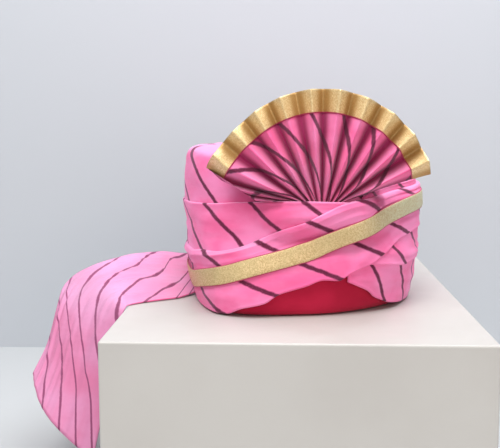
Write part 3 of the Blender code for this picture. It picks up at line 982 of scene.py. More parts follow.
@dataclass
class Crown:
    """Cloth wound over the top of the cap, lifted at the front arch and pushed in behind the fan."""

    body: WoundBody
    wall: float = 0.0045
    wall_share: float = 0.6
    dent: float = 0.0072
    shoulder: float = 0.0050
    shoulder_top: float = 0.980
    fold_depth: float = 0.0005
    folds_round: float = 23.0
    folds_low: float = 0.70
    softness: float = 0.0006
    top: float = 0.99996
    shade: float = 0.40
    shade_top: float = 0.76
    columns: int = 360
    levels: int = 110
    corner: Rows = (
        (0.54, 0.0005), (0.62, 0.0042), (0.70, 0.0048), (0.78, 0.0041), (0.86, 0.0030), (0.91, 0.0055),
        (0.95, 0.0012), (0.98, -0.0030), (1.00, 0.0),
    )
    edge: Rows = (
        (-180, 0.010), (-45, 0.010), (-29, 0.050), (-22, 0.090), (-13, 0.130), (-8, 0.180), (-1, 0.220),
        (6, 0.262), (13, 0.258), (20, 0.225), (26, 0.185), (34, 0.120), (44, 0.080), (57, 0.030),
        (70, 0.010), (180, 0.010),
    )

    def out(self, turn: np.ndarray, height: np.ndarray) -> np.ndarray:
        """Shape the crown's outside, with soft folds drawn towards the top.

        Args:
            turn: Degrees from the front towards +X.
            height: Share of the body's height.

        Returns:
            Distance out from the body in metres.
        """
        body = self.body
        radial = np.sin(np.radians(turn) * self.folds_round + 2.2 * soft_noise(turn / 60.0, height * 2.0, 5))
        folds = self.fold_depth * radial * smooth_step((height - self.folds_low) / 0.25)
        soft = self.softness * soft_noise(body.girth(turn) / 0.045, height * body.height / 0.03, 8)
        full = SHOULDER.share(turn, height) * (1.0 - smooth_step((height - self.shoulder_top) / 0.018))
        square = CORNER.share(turn, height) * table_value(self.corner, 1, height)
        return folds + soft + self.shoulder * full + square - self.dent * DENT.share(turn, height)

    def build(self, dressing: Dressing) -> bpy.types.Object:
        """Make the crown as a shell that closes at the top.

        Args:
            dressing: The finishes.

        Returns:
            The piece.
        """
        body = self.body
        turns = np.arange(self.columns) * 360.0 / self.columns - 180.0
        bow = np.sin(0.5 * math.pi * np.linspace(0.0, 1.0, self.levels) ** 0.86)
        low = table_value(self.edge, 1, turns)
        height = low + (self.top - low) * bow[:, None]
        turn = np.broadcast_to(turns, height.shape)
        out = self.out(turn, height)
        outer = body.point(turn, height, out)
        inner = body.point(turn, height, out - self.wall * self.wall_share)
        up = np.column_stack([height, height[:, 0]]) * body.height
        wide = np.broadcast_to(np.append(turns, 180.0), up.shape)
        stripes = CROWN_STRIPES.phase(body, wide, up)
        shade = self.shade * BESIDE_FAN.share(wide, up / body.height)
        shade = shade * (1.0 - smooth_step((up / body.height - self.shade_top) / 0.12))
        crown = shell_mesh("crown_winding", outer, inner, True,
                           [ClothMap("weave", body.girth(wide), up), ClothMap("stripes", stripes, shade)])
        file_piece(crown, dressing.cotton, "pink_cloth", "crown_cloth")
        return crown


@dataclass
class Wrap:
    """One band of cloth wound over the layers under it, with rolled edges."""

    name: str
    node: str
    rows: Rows
    stripes: StripeLayout
    wall: float = 0.0011
    roll: float = 0.0014
    lip: float = 0.0005
    lip_width: float = 0.0012
    calm_edge: float = 0.008
    creases: float = 0.00045
    crease_length: float = 0.11
    crease_rows: float = 3.2
    crease_slant: float = 0.4
    fine_length: float = 0.035
    fine_height: float = 0.010
    fine_share: float = 0.45
    clearance: float = 0.00012
    sunk: float = 0.0006
    take_up: float = 1.02
    shade: float = 0.62
    closer_at_edges: float = 0.55
    rim_point: float = 0.012
    pleat_end: float = 0.18
    seed: int = 1
    pleats: tuple[tuple[float, float, float], ...] = ()
    in_shade: Window | None = None
    across_points: int = 34

    def closed(self) -> bool:
        """Whether the band goes all the way round."""
        return self.rows[-1][0] - self.rows[0][0] >= 360

    def edges(self, turn: np.ndarray) -> tuple[np.ndarray, np.ndarray, np.ndarray]:
        """Find the band's edges.

        Args:
            turn: Degrees from the front towards +X.

        Returns:
            Low edge, high edge and degrees from the band's ends, less than 0 past them.
        """
        first, last = self.rows[0][0], self.rows[-1][0]
        place = first + (np.asarray(turn, float) - first) % 360.0
        inside = np.full(place.shape, 99.0)
        if not self.closed():
            inside = np.where(place <= last, np.minimum(place - first, last - place), -1.0)
        place = np.minimum(place, last)
        return table_value(self.rows, 1, place), table_value(self.rows, 2, place), inside

    def thickness(self, body: WoundBody, turn: np.ndarray, height: np.ndarray, low: np.ndarray,
                  high: np.ndarray, inside: np.ndarray) -> np.ndarray:
        """How thick the band stands over what is under it.

        Args:
            body: The body it is wound on.
            turn: Degrees from the front towards +X.
            height: Share of the body's height.
            low: The band's low edge there.
            high: Its high edge there.
            inside: Degrees from the band's ends.

        Returns:
            Thickness in metres, 0 at the very edge.
        """
        from_edge = np.minimum(height - low, high - height) * body.height
        from_edge = np.minimum(from_edge, inside * math.radians(1.0) * 0.5 * body.width)
        across = (height - low) / np.maximum(high - low, 1e-6)
        rounding = np.sqrt(np.clip(1.0 - (1.0 - np.clip(from_edge / self.roll, 0.0, 1.0)) ** 2, 0.0, 1.0))
        thick = self.wall * rounding
        thick = thick + self.lip * np.exp(-((from_edge - self.roll) / self.lip_width) ** 2) * rounding
        inner = smooth_step(from_edge / self.calm_edge)
        run = body.girth(turn)
        rows = across * self.crease_rows + run / self.crease_slant
        long = soft_noise(run / self.crease_length, rows, self.seed)
        fine = soft_noise(run / self.fine_length, height * body.height / self.fine_height, self.seed + 50)
        thick = thick + inner * self.creases * (long + self.fine_share * fine)
        for place, size, width in self.pleats:
            step = smooth_step((across - place) / width + 0.5)
            thick = thick + size * step * smooth_step((1.0 - across) / self.pleat_end) * rounding
        return np.maximum(thick, 0.0)

    def build(self, layers: ClothLayers, dressing: Dressing, rests_on: list[str]) -> bpy.types.Object:
        """Wind the band over the layers so far, and add it to them.

        Args:
            layers: The layers under it.
            dressing: The finishes.
            rests_on: Names of the pieces under it; not used.

        Returns:
            The piece.
        """
        body = layers.body
        under = layers.draped()
        first, last = self.rows[0][0], self.rows[-1][0]
        closed = self.closed()
        turns = np.arange(360) - 180.0 if closed else np.linspace(first, last, int(last - first) + 1)
        low, high, inside = self.edges(turns)
        share = 0.5 - 0.5 * np.cos(np.linspace(0.0, math.pi, self.across_points))
        even = np.linspace(0.0, 1.0, self.across_points)
        share = self.closer_at_edges * share + (1.0 - self.closer_at_edges) * even
        share[1], share[-2] = self.rim_point, 1.0 - self.rim_point
        height = low + (high - low) * share[:, None]
        turn = np.broadcast_to(turns, height.shape)
        base = layers.read(under, turn, height)
        thick = self.thickness(body, turn, height, low, high, np.broadcast_to(inside, height.shape))
        outer = body.point(turn, height, base + self.clearance + thick)
        inner = body.point(turn, height, base - self.sunk)
        up = height * body.height
        if closed:
            turns, up = np.append(turns, 180.0), np.column_stack([up, up[:, 0]])
        wide = np.broadcast_to(turns, up.shape)
        stripes = self.stripes.phase(body, wide, up)
        shade = np.zeros(up.shape)
        if self.in_shade:
            shade = self.shade * self.in_shade.share(wide, up / body.height)
        band = shell_mesh(self.name, outer, inner, closed,
                          [ClothMap("weave", body.girth(wide), up), ClothMap("stripes", stripes, shade)])
        file_piece(band, dressing.cotton, "pink_cloth", self.node)
        span = float(body.girth(last) - body.girth(first))
        self.press(layers, under)
        return band

    def press(self, layers: ClothLayers, under: np.ndarray) -> None:
        """Raise the layers' surface by this band.

        Args:
            layers: The layers to add it to.
            under: The surface that it lies on.
        """
        turn, height = np.meshgrid(layers.turns, layers.heights)
        low, high, inside = (np.broadcast_to(value, turn.shape) for value in self.edges(layers.turns))
        thick = self.thickness(layers.body, turn, height, low, high, inside)
        covered = (height > low) & (height < high) & (inside >= 0.0)
        layers.out = np.where(covered, np.maximum(layers.out, under + self.clearance + thick), layers.out)


UPPER_BAND = Wrap(
    "upper_band_wrap", "upper_band",
    (
        (-180, 0.46, 0.660), (-120, 0.38, 0.650), (-90, 0.32, 0.645), (-66, 0.31, 0.642),
        (-50, 0.31, 0.650), (-30, 0.34, 0.675), (-16, 0.40, 0.685), (0, 0.50, 0.688), (12, 0.56, 0.682),
        (20, 0.56, 0.680), (40, 0.57, 0.690), (66, 0.58, 0.700), (90, 0.59, 0.710), (135, 0.56, 0.705),
        (180, 0.46, 0.660),
    ),
    StripeLayout((
        ((-60.9, 0.0614), (-55.9, 0.0548), (-50.9, 0.0486)),
        ((-51.4, 0.0861), (-37.5, 0.0703), (-26.9, 0.0564)),
        ((-22.6, 0.0911), (-15.6, 0.0800), (-8.3, 0.0694)),
        ((-0.5, 0.0915), (1.5, 0.0879), (4.1, 0.0811)),
    )),
    seed=11,
)
LOWER_FLAP = Wrap(
    "lower_flap_fold", "lower_flap",
    (
        (16, 0.205, 0.260), (21.5, 0.171, 0.330), (27.5, 0.133, 0.370), (31.5, 0.092, 0.370),
        (36.5, 0.066, 0.365), (42.5, 0.040, 0.355), (52, 0.020, 0.340), (61, 0.006, 0.335),
        (75, 0.003, 0.340), (90, 0.003, 0.330), (120, 0.003, 0.290), (150, 0.003, 0.210),
        (180, 0.003, 0.150), (210, 0.003, 0.130), (235, 0.003, 0.110),
    ),
    StripeLayout((
        ((27.1, 0.0385), (31.7, 0.0322), (35.6, 0.0209), (38.2, 0.0079)),
        ((47.6, 0.0364), (51.5, 0.0256), (55.3, 0.0144)),
    )),
    seed=12,
)
UPPER_FLAP = Wrap(
    "upper_flap_fold", "upper_flap",
    (
        (22, 0.315, 0.350), (27, 0.303, 0.385), (37, 0.290, 0.430), (51, 0.269, 0.520),
        (57, 0.275, 0.530), (75, 0.285, 0.560), (90, 0.270, 0.580), (120, 0.230, 0.540),
        (150, 0.160, 0.440), (180, 0.110, 0.320), (200, 0.130, 0.270), (216, 0.175, 0.260),
    ),
    StripeLayout((
        ((20.0, 0.0500), (26.0, 0.0400), (30.0, 0.0300)),
        ((42.8, 0.0515), (50.6, 0.0392), (56.0, 0.0290)),
    )),
    seed=13,
)
UPPER_FOLD = Wrap(
    "upper_fold_wrap", "upper_fold",
    (
        (22, 0.640, 0.705), (26, 0.645, 0.735), (34, 0.655, 0.753), (47, 0.670, 0.778),
        (66, 0.680, 0.790), (90, 0.690, 0.805), (120, 0.670, 0.795), (150, 0.600, 0.740),
        (180, 0.500, 0.660), (200, 0.400, 0.560), (218, 0.340, 0.450),
    ),
    StripeLayout((
        ((20.0, 0.1080), (28.0, 0.0990), (34.0, 0.0920)),
        ((51.5, 0.1042), (57.0, 0.0992), (64.0, 0.0932)),
    )),
    seed=14,
    in_shade=Window(14.0, 38.0, 5.0, 0.0, 0.1),
)
LOWER_WRAP = Wrap(
    "lower_wrap_band", "lower_wrap",
    (
        (-180, 0.150, 0.460), (-150, 0.165, 0.345), (-122, 0.200, 0.300), (-105, 0.158, 0.260),
        (-90, 0.112, 0.220), (-74, 0.045, 0.200), (-60, 0.003, 0.190), (-45, 0.003, 0.230),
        (-29, 0.008, 0.272), (-22, 0.049, 0.310), (-13, 0.085, 0.355), (-8, 0.137, 0.378),
        (-1, 0.176, 0.412), (6, 0.222, 0.470), (12, 0.216, 0.500), (17, 0.255, 0.530),
        (26, 0.302, 0.570), (34, 0.351, 0.608), (44, 0.407, 0.640), (57, 0.447, 0.675),
        (75, 0.480, 0.690), (90, 0.495, 0.695), (120, 0.455, 0.665), (150, 0.320, 0.565),
        (180, 0.150, 0.460),
    ),
    StripeLayout((
        ((-46.5, 0.0173), (-39.8, 0.0090), (-30.2, 0.0011)),
        ((-22.0, 0.0278), (-16.4, 0.0223), (-8.3, 0.0189)),
        ((-1.1, 0.0425), (4.0, 0.0380), (11.1, 0.0323), (16.1, 0.0271)),
        ((19.9, 0.0580), (26.0, 0.0534), (34.1, 0.0484)),
        ((43.0, 0.0719), (49.2, 0.0677), (56.5, 0.0614)),
    )),
    seed=15,
)
DIAGONAL_WRAP = Wrap(
    "diagonal_wrap_band", "diagonal_wrap",
    (
        (-180, 0.390, 0.620), (-150, 0.278, 0.500), (-120, 0.222, 0.410), (-100, 0.173, 0.370),
        (-80, 0.134, 0.348), (-62, 0.121, 0.340), (-50, 0.150, 0.360), (-40, 0.172, 0.366),
        (-30, 0.206, 0.395), (-20, 0.250, 0.444), (-8, 0.310, 0.515), (-1, 0.346, 0.555),
        (4, 0.390, 0.603), (13, 0.445, 0.668), (19, 0.480, 0.690), (26, 0.507, 0.702),
        (34, 0.547, 0.716), (47, 0.582, 0.738), (66, 0.612, 0.750), (90, 0.630, 0.760),
        (120, 0.600, 0.740), (150, 0.495, 0.690), (180, 0.390, 0.620),
    ),
    StripeLayout((
        ((-46.7, 0.0472), (-41.7, 0.0420), (-34.4, 0.0380)),
        ((-17.6, 0.0589), (-13.1, 0.0553), (-9.2, 0.0529)),
        ((0.9, 0.0759), (4.8, 0.0719), (8.1, 0.0692)),
        ((20.6, 0.0918), (25.6, 0.0885), (31.2, 0.0842)),
        ((48.4, 0.1030), (56.7, 0.0957)),
    )),
    seed=16,
    pleats=((0.55, 0.0012, 0.05), (0.80, 0.0010, 0.05)),
    in_shade=Window(24.0, 39.0, 5.0, 0.630, 0.655),
)
WRAPS = (UPPER_BAND, LOWER_FLAP, UPPER_FLAP, UPPER_FOLD, LOWER_WRAP, DIAGONAL_WRAP)


@dataclass
class Ribbon:
    """Gold ribbon wound once round over the wraps."""

    width: float = 0.0150
    wall: float = 0.0006
    clearance: float = 0.0002
    sunk: float = 0.0003
    take_up: float = 1.08
    softening: tuple[float, ...] = (-4.0, -2.0, 0.0, 2.0, 4.0)
    probe_turn: float = 2.0
    stiffness: float = 0.75
    across_points: int = 9
    line: Rows = (
        (-180, 0.425), (-150, 0.312), (-120, 0.257), (-100, 0.208), (-80, 0.167), (-62, 0.154),
        (-45, 0.193), (-30, 0.236), (-20, 0.285), (-9, 0.337), (-1, 0.376), (4, 0.420), (14, 0.480),
        (25, 0.532), (33, 0.573), (46, 0.610), (58, 0.638), (75, 0.655), (90, 0.660), (120, 0.630),
        (150, 0.530), (180, 0.425),
    )

    def middle(self, turn: np.ndarray) -> np.ndarray:
        """Height of the ribbon's middle line, softened so that it runs without kinks."""
        heights = [table_value(self.line, 1, half_turn(turn + shift)) for shift in self.softening]
        return sum(heights) / len(heights)

    def build(self, layers: ClothLayers, dressing: Dressing) -> bpy.types.Object:
        """Wind the ribbon over the cloth, upright to its own run.

        Args:
            layers: The layers under it.
            dressing: The finishes.

        Returns:
            The piece.
        """
        body = layers.body
        turns = np.arange(0.0, 360.0, 1.0) - 180.0
        before, after = turns - self.probe_turn, turns + self.probe_turn
        run = body.surface(after, self.middle(after)) - body.surface(before, self.middle(before))
        length = np.linalg.norm(run, axis=-1)
        flat = np.linalg.norm(run[:, :2], axis=-1)
        across = np.linspace(-1.0, 1.0, self.across_points)[:, None]
        up = 0.5 * self.width * flat / length / body.height
        sideways = np.degrees(0.5 * self.width * run[:, 2] / length / (0.5 * body.width))
        height = self.middle(turns) + up * across
        turn = turns - sideways * across
        base = layers.read(layers.draped(), turn, height)
        stiff = ClothLayers.softened(np.broadcast_to(base.max(0), base.shape), 5)
        bridged = (1.0 - self.stiffness) * base + self.stiffness * stiff
        base = ClothLayers.softened(np.maximum(bridged, base), 2)
        rounding = np.sqrt(np.clip(1.0 - np.abs(across) ** 8, 0.0, 1.0))
        outer = body.point(turn, height, base + self.clearance + self.wall * rounding)
        inner = body.point(turn, height, base - self.sunk)
        girth = np.broadcast_to(body.girth(np.append(turns, 180.0)), (self.across_points, len(turns) + 1))
        side = np.broadcast_to(across, girth.shape)
        maps = [ClothMap("weave", girth, side * 0.5 * self.width), ClothMap("band", girth, side)]
        ribbon = shell_mesh("gold_ribbon_band", outer, inner, True, maps)
        file_piece(ribbon, dressing.ribbon, "gold_weave", "gold_ribbon")
        body.whole_girth() * self.take_up
        return ribbon


@dataclass
class Fan:
    """Fan of pleated cloth, its foot tucked behind the upper band, with gold lace along its rim."""

    body: WoundBody
    radius: float = 0.087
    offset_x: float = 0.0134
    base_height: float = 0.0914
    foot_width: float = 0.036
    foot_depth: float = 0.011
    pleats: int = 10
    left_angle: float = 164.5
    right_angle: float = 13.8
    droop: float = 4.0
    wall: float = 0.0008
    foot_pleat: float = 0.0052
    middle_pleat: float = 0.0165
    edge_pleat: float = 0.0130
    bend: float = 0.0125
    lace_width: float = 0.0175
    lace_wall: float = 0.0007
    lace_proud: float = 0.0010
    foot_lift: float = 0.0036
    foot_dent: float = 0.0072
    stripe_pitch: float = 0.047
    lean: float = 0.0055
    tucked: float = 0.16
    tucked_angle: float = 179.0
    tuck_shade: float = 0.50
    rounded: float = 0.12
    droop_fade: float = 8.0
    uneven_angle: float = 0.010
    uneven_depth: float = 0.12
    # fold_start, fold_power and paler_at_rim set the painted shade in the pleats
    fold_start: float = 0.42
    fold_power: float = 1.2
    paler_at_rim: float = 0.34
    stripe_start: float = 0.25
    stripe_swell: float = 0.04
    lace_gap: float = 0.0001
    rim: Rows = (
        (-0.16, 0.60), (-0.10, 0.72), (-0.05, 0.84), (-0.015, 1.0), (0.0, 1.09), (0.08, 1.045), (0.2, 1.005),
        (0.35, 1.0), (0.7, 1.0), (0.85, 1.01), (1.0, 1.015),
    )

    def wave(self, across: np.ndarray) -> np.ndarray:
        """Crease line of the pleats: 1 on a ridge and -1 in a valley, with creased tips."""
        turn = np.cos(2.0 * math.pi * self.pleats * across)
        straight = 1.0 - 2.0 / math.pi * np.arccos(np.clip(turn, -1.0, 1.0))
        return -((1.0 - self.rounded) * straight + self.rounded * turn)

    def fold(self, across: np.ndarray) -> np.ndarray:
        """Amount of painted shade in the pleats: 0 on the front of a pleat and 1 deep at the back."""
        return np.clip(-self.wave(across) + self.fold_start, 0.0, 1.0) ** self.fold_power

    def grid(self, rows: np.ndarray, across: np.ndarray, ahead: float) -> np.ndarray:
        """Points of the fan's cloth.

        Args:
            rows: Places from the foot, 0, to the rim, 1, less than 0 being tucked in.
            across: Places across from the left end, 0, to the right, 1.
            ahead: Distance in front of the cloth's middle.

        Returns:
            Grid of points.
        """
        angle = self.left_angle + (self.right_angle - self.left_angle) * np.maximum(across, 0.0)
        angle = angle + (self.tucked_angle - self.left_angle) * np.maximum(-across, 0.0) / self.tucked
        droop = self.droop * np.clip(1.0 - self.droop_fade * across, 0.0, 1.0)
        droop = np.radians(droop * np.clip(1.0 + across / self.tucked, 0.0, 1.0))
        angle = np.radians(angle)
        uneven = self.uneven_angle * soft_noise(across * 6.0, 0.0, 21)
        angle = angle + uneven * np.sin(math.pi * across)
        radius = self.radius * table_value(self.rim, 1, across)
        base_x = (across - 0.5) * self.foot_width
        body = self.body
        share = table_value(body.profile, 1, self.base_height / body.height)
        fan_y = body.centre_y - 0.5 * body.depth * share - 0.5 * (self.foot_lift - self.foot_dent)
        spread = math.radians(self.left_angle - self.right_angle)
        points = []
        for row in rows:
            out = max(row, 0.0)
            lean = angle + droop * (1.0 - smooth_step((out - 0.80) / 0.20))
            x = base_x + (radius * np.cos(lean) - base_x) * out
            z = radius * np.sin(lean) * out + min(row, 0.0) * self.foot_depth
            pitch = self.foot_width * (1.0 - out) + spread * self.radius * out
            depth = self.foot_pleat + (self.middle_pleat - self.foot_pleat) * smooth_step(out / 0.45)
            depth = depth + (self.edge_pleat - self.middle_pleat) * smooth_step((out - 0.45) / 0.55)
            uneven = self.uneven_depth * soft_noise(across * 11.0, out * 1.5, 22)
            depth = depth * (1.0 + uneven * out)
            depth = depth * (1.0 - 0.5 * smooth_step(-across / 0.05))
            slant = math.hypot(1.0, 2.0 * self.foot_pleat * self.pleats / pitch)
            sideways = np.clip(np.abs(self.offset_x + x) / (0.5 * body.width * share), 0.0, 1.0)
            front = (1.0 - sideways ** body.squareness) ** (1.0 / body.squareness)
            round_body = 0.5 * body.depth * share * (1.0 - front)
            bend = round_body * (1.0 - out) + self.bend * (x / self.radius) ** 2 * out
            bend = bend - self.lean * smooth_step((out - 0.04) / 0.30)
            y = fan_y + bend - 0.5 * depth * self.wave(across) - ahead * slant
            place = [body.centre_x + self.offset_x + x, y, body.foot + self.base_height + z]
            points.append(np.stack(place, -1))
        return np.array(points)

    def build(self, dressing: Dressing) -> list[bpy.types.Object]:
        """Make the pleated cloth and its lace.

        Args:
            dressing: The finishes.

        Returns:
            Both pieces.
        """
        across = np.linspace(0.0, 1.0, 20 * self.pleats + 1)
        wide = np.concatenate([np.linspace(-self.tucked, 0.0, 34)[:-1], across])
        face = math.hypot(0.5 * math.radians(self.left_angle - self.right_angle) * self.radius / self.pleats,
                          self.edge_pleat)
        cloth_width = 2.0 * self.pleats * face
        rows = np.concatenate([[-1.0, -0.5], np.linspace(0.0, 0.995, 44)])
        run = np.broadcast_to(wide * cloth_width, (len(rows), len(wide)))
        up = np.broadcast_to((rows * self.radius)[:, None], run.shape)
        stripes = (run + up) / self.stripe_pitch + self.stripe_start
        stripes = stripes - self.stripe_swell * np.sin(2.0 * math.pi * stripes)
        # painted shade in the pleat valleys, weaker towards the rim, and over the tucked left end
        fold = self.fold(wide) * (1.0 - self.paler_at_rim * np.clip(up / self.radius, 0.0, 1.0))
        fold = np.maximum(fold, self.tuck_shade * smooth_step(-wide / 0.03))
        fan = shell_mesh("fan_pleats", self.grid(rows, wide, 0.5 * self.wall),
                         self.grid(rows, wide, -0.5 * self.wall), False,
                         [ClothMap("weave", run, up), ClothMap("stripes", stripes, fold)])
        file_piece(fan, dressing.cotton, "pink_cloth", "fan")
        start = 1.0 - self.lace_width / self.radius
        lace_rows = np.linspace(start, 1.0 + self.lace_proud / self.radius, 14)
        inner = 0.5 * self.wall + self.lace_gap
        along = np.broadcast_to(across * cloth_width, (len(lace_rows), len(across)))
        side = np.broadcast_to(np.linspace(0.0, 1.0, len(lace_rows))[:, None], along.shape)
        # the lace gets the same painted shade in its pleat valleys
        fold = np.broadcast_to(self.fold(across), side.shape)
        lace = shell_mesh("fan_gold_lace", self.grid(lace_rows, across, inner + self.lace_wall),
                          self.grid(lace_rows, across, inner), False,
                          [ClothMap("band", along, side), ClothMap("fold", fold, side)])
        file_piece(lace, dressing.lace, "gold_lace", "fan_lace")
        return [fan, lace]


TAIL_STRIPES: tuple[Rows, ...] = (
    ((0.0, 0.75), (0.06, 0.50), (0.115, 0.27), (0.19, 0.16), (0.24, 0.07), (0.35, -0.12), (0.6, -0.4),
     (1.0, -0.8)),
    ((0.0, 1.60), (0.105, 0.94), (0.155, 0.80), (0.18, 0.52), (0.225, 0.42), (0.27, 0.38), (0.33, 0.27),
     (0.49, 0.09), (0.565, 0.05), (0.75, -0.15), (1.0, -0.45)),
    ((0.0, 2.10), (0.15, 1.20), (0.25, 0.86), (0.28, 0.70), (0.34, 0.61), (0.455, 0.46), (0.565, 0.35),
     (0.65, 0.27), (0.705, 0.21), (0.85, 0.02), (1.0, -0.2)),
    ((0.0, 2.60), (0.3, 1.20), (0.43, 0.87), (0.525, 0.75), (0.59, 0.66), (0.685, 0.50), (0.76, 0.36),
     (0.83, 0.25), (0.87, 0.17), (0.93, 0.09), (1.0, 0.0)),
    ((0.0, 3.10), (0.4, 1.45), (0.56, 1.12), (0.65, 0.95), (0.725, 0.72), (0.795, 0.50), (0.885, 0.32),
     (0.93, 0.25), (1.0, 0.15)),
    ((0.0, 3.60), (0.5, 1.70), (0.7, 1.20), (0.775, 0.95), (0.815, 0.77), (0.85, 0.60), (0.92, 0.45),
     (1.0, 0.33)),
    ((0.0, 4.10), (0.6, 2.00), (0.85, 1.15), (0.925, 0.80), (1.0, 0.57)),
    ((0.0, 4.60), (0.8, 1.80), (1.0, 1.0)),
)


@dataclass
class Tail:
    """Long end of the cloth that leaves under the lower wrap, crosses the block and falls past its side."""

    body: WoundBody
    block: DisplayBlock
    stand_off: float = 0.080
    lift: float = 0.025
    drop: float = 0.097
    bulge: float = 0.012
    flank: float = 0.93
    wall: float = 0.0009
    clearance: float = 0.0008
    root_clearance: float = 0.0010
    shade: tuple[float, float] = (0.26, 0.22)
    shaded_from: float = 0.40
    shaded_over: float = 0.18
    wide_fold: float = 0.0011
    fine_fold: float = 0.0005
    free_of_root: float = 0.15
    outer_stripes: float = 3.0
    root_turns: tuple[float, float] = (-74.0, -122.0)
    root_heights: tuple[float, float] = (0.012, 0.155)
    sections: Rows = (
        (0.24, -0.47, 0.02, 0.36, 0.45, 0.88), (0.50, -0.54, 0.02, 0.84, 0.40, 1.00),
        (0.80, -0.63, 0.02, 1.21, 0.34, 0.96), (0.99, -0.72, 0.02, 1.43, 0.26, 0.80),
        (1.02, -0.77, -0.015, 1.66, 0.13, 0.60), (1.06, -0.83, -0.14, 1.81, -0.05, 0.40),
        (1.075, -0.91, -0.35, 1.87, -0.24, 0.12), (1.11, -0.98, -0.56, 1.88, -0.40, -0.12),
        (1.15, -1.07, -0.78, 1.91, -0.56, -0.37), (1.21, -1.24, -1.12, 2.00, -0.76, -0.60),
    )

    def edge_point(self, across: float, depth: float, height: float) -> np.ndarray:
        """Place a point of the tail's edge from the turban's flank, the block's side and the tail's sizes.

        Args:
            across: 0 at the flank, 1 at the block's side and more past it.
            depth: Share of half the body's depth, from its middle to the back.
            height: Share of the lift over the block's top, or of the drop below it.

        Returns:
            The point.
        """
        flank = self.body.centre_x - 0.5 * self.body.width * self.flank
        side = -0.5 * self.block.width
        x = flank + (side - flank) * across if across <= 1.0 else side - self.stand_off * (across - 1.0)
        y = self.body.centre_y + 0.5 * self.body.depth * depth
        z = self.block.height + height * (self.lift if height > 0.0 else self.drop)
        return np.array([x, y, z])

    def surface(self, length: np.ndarray, across: np.ndarray) -> np.ndarray:
        """Points of the tail's cloth.

        Args:
            length: Places from the root, 0, to the cut end, 1.
            across: Places from the near edge, 0, to the far one, 1.

        Returns:
            Grid of points, length by across.
        """
        turns = self.root_turns[0] + (self.root_turns[1] - self.root_turns[0]) * across
        heights = self.root_heights[0] + (self.root_heights[1] - self.root_heights[0]) * across
        rows = [self.body.point(turns, heights, self.root_clearance)]
        count = len(self.sections)
        for order, section in enumerate(self.sections, start=1):
            near, far = self.edge_point(*section[:3]), self.edge_point(*section[3:])
            share = order / count
            outward = np.array([-1.0, -0.35, 1.0 - 0.9 * share])
            swell = self.bulge * share * np.sin(math.pi * across)[:, None] * outward / np.linalg.norm(outward)
            rows.append(near + (far - near) * across[:, None] + swell)
        rows = np.array(rows)
        places = np.linspace(0.0, 1.0, count + 1)
        smooth = np.zeros((len(length), len(across), 3))
        for column in range(len(across)):
            for axis in range(3):
                pairs = tuple(zip(places, rows[:, column, axis]))
                smooth[:, column, axis] = table_value(pairs, 1, length)
        return smooth

    def stripe_numbers(self, length: np.ndarray, across: np.ndarray) -> np.ndarray:
        """Number the stripes over the tail: whole numbers lie on a stripe.

        Args:
            length: Places from the root, 0, to the cut end, 1.
            across: Places from the near edge, 0, to the far one, 1.

        Returns:
            Grid of stripe numbers, length by across.
        """
        lines = np.stack([table_value(rows, 1, length) for rows in TAIL_STRIPES], 1)
        lines = np.column_stack([lines[:, 0] - self.outer_stripes, lines, lines[:, -1] + self.outer_stripes])
        count = len(TAIL_STRIPES)
        numbers = np.concatenate([[-10.0], np.arange(count), [count + 9.0]])
        return np.array([np.interp(across, line, numbers) for line in lines])

    def build(self, dressing: Dressing) -> bpy.types.Object:
        """Make the tail with soft folds along its length.

        Args:
            dressing: The finishes.

        Returns:
            The piece.
        """
        length = np.linspace(0.0, 1.0, 121)
        across = np.linspace(0.0, 1.0, 61)
        middle = self.surface(length, across)
        along = np.gradient(middle, axis=0)
        aside = np.gradient(middle, axis=1)
        facing = np.cross(aside, along)
        facing /= np.maximum(np.linalg.norm(facing, axis=-1, keepdims=True), TINY)
        place, side = np.meshgrid(length, across, indexing="ij")
        wide_folds = self.wide_fold * soft_noise(side * 4.5, place * 1.2, 31)
        fine_folds = self.fine_fold * soft_noise(side * 11.0, place * 3.0, 32)
        folds = (wide_folds + fine_folds) * smooth_step(place / self.free_of_root)
        middle = middle + facing * (folds + self.clearance)[..., None]
        outer = middle + facing * 0.5 * self.wall
        inner = middle - facing * 0.5 * self.wall
        run = np.cumsum(np.concatenate([[0.0], np.linalg.norm(np.diff(middle.mean(1), axis=0), axis=1)]))
        width = np.linalg.norm(np.diff(middle, axis=1), axis=2).sum(1).mean()
        run = np.broadcast_to(run[:, None], place.shape)
        stripes = self.stripe_numbers(length, across)
        shade = self.shade[0] + self.shade[1] * smooth_step((place - self.shaded_from) / self.shaded_over)
        tail = shell_mesh("tail_cloth", outer, inner, False,
                          [ClothMap("weave", run, side * width), ClothMap("stripes", stripes, shade)])
        file_piece(tail, dressing.single_cotton, "pink_cloth", "tail")
        return tail


@dataclass(frozen=True)
class Lamp:
    """Soft square lamp that faces a point."""

    name: str
    place: Place
    size: float
    power: float
    tint: Colour
    target: Place = (0.0, 0.0, 0.2)

    def hang(self) -> None:
        """Put the lamp into the scene."""
        light = bpy.data.lights.new(self.name, "AREA")
        light.size = self.size
        light.energy = self.power
        light.color = self.tint
        obj = placed(self.name, light)
        obj.location = self.place
        obj.rotation_euler = (Vector(self.target) - Vector(self.place)).to_track_quat("-Z", "Y").to_euler()


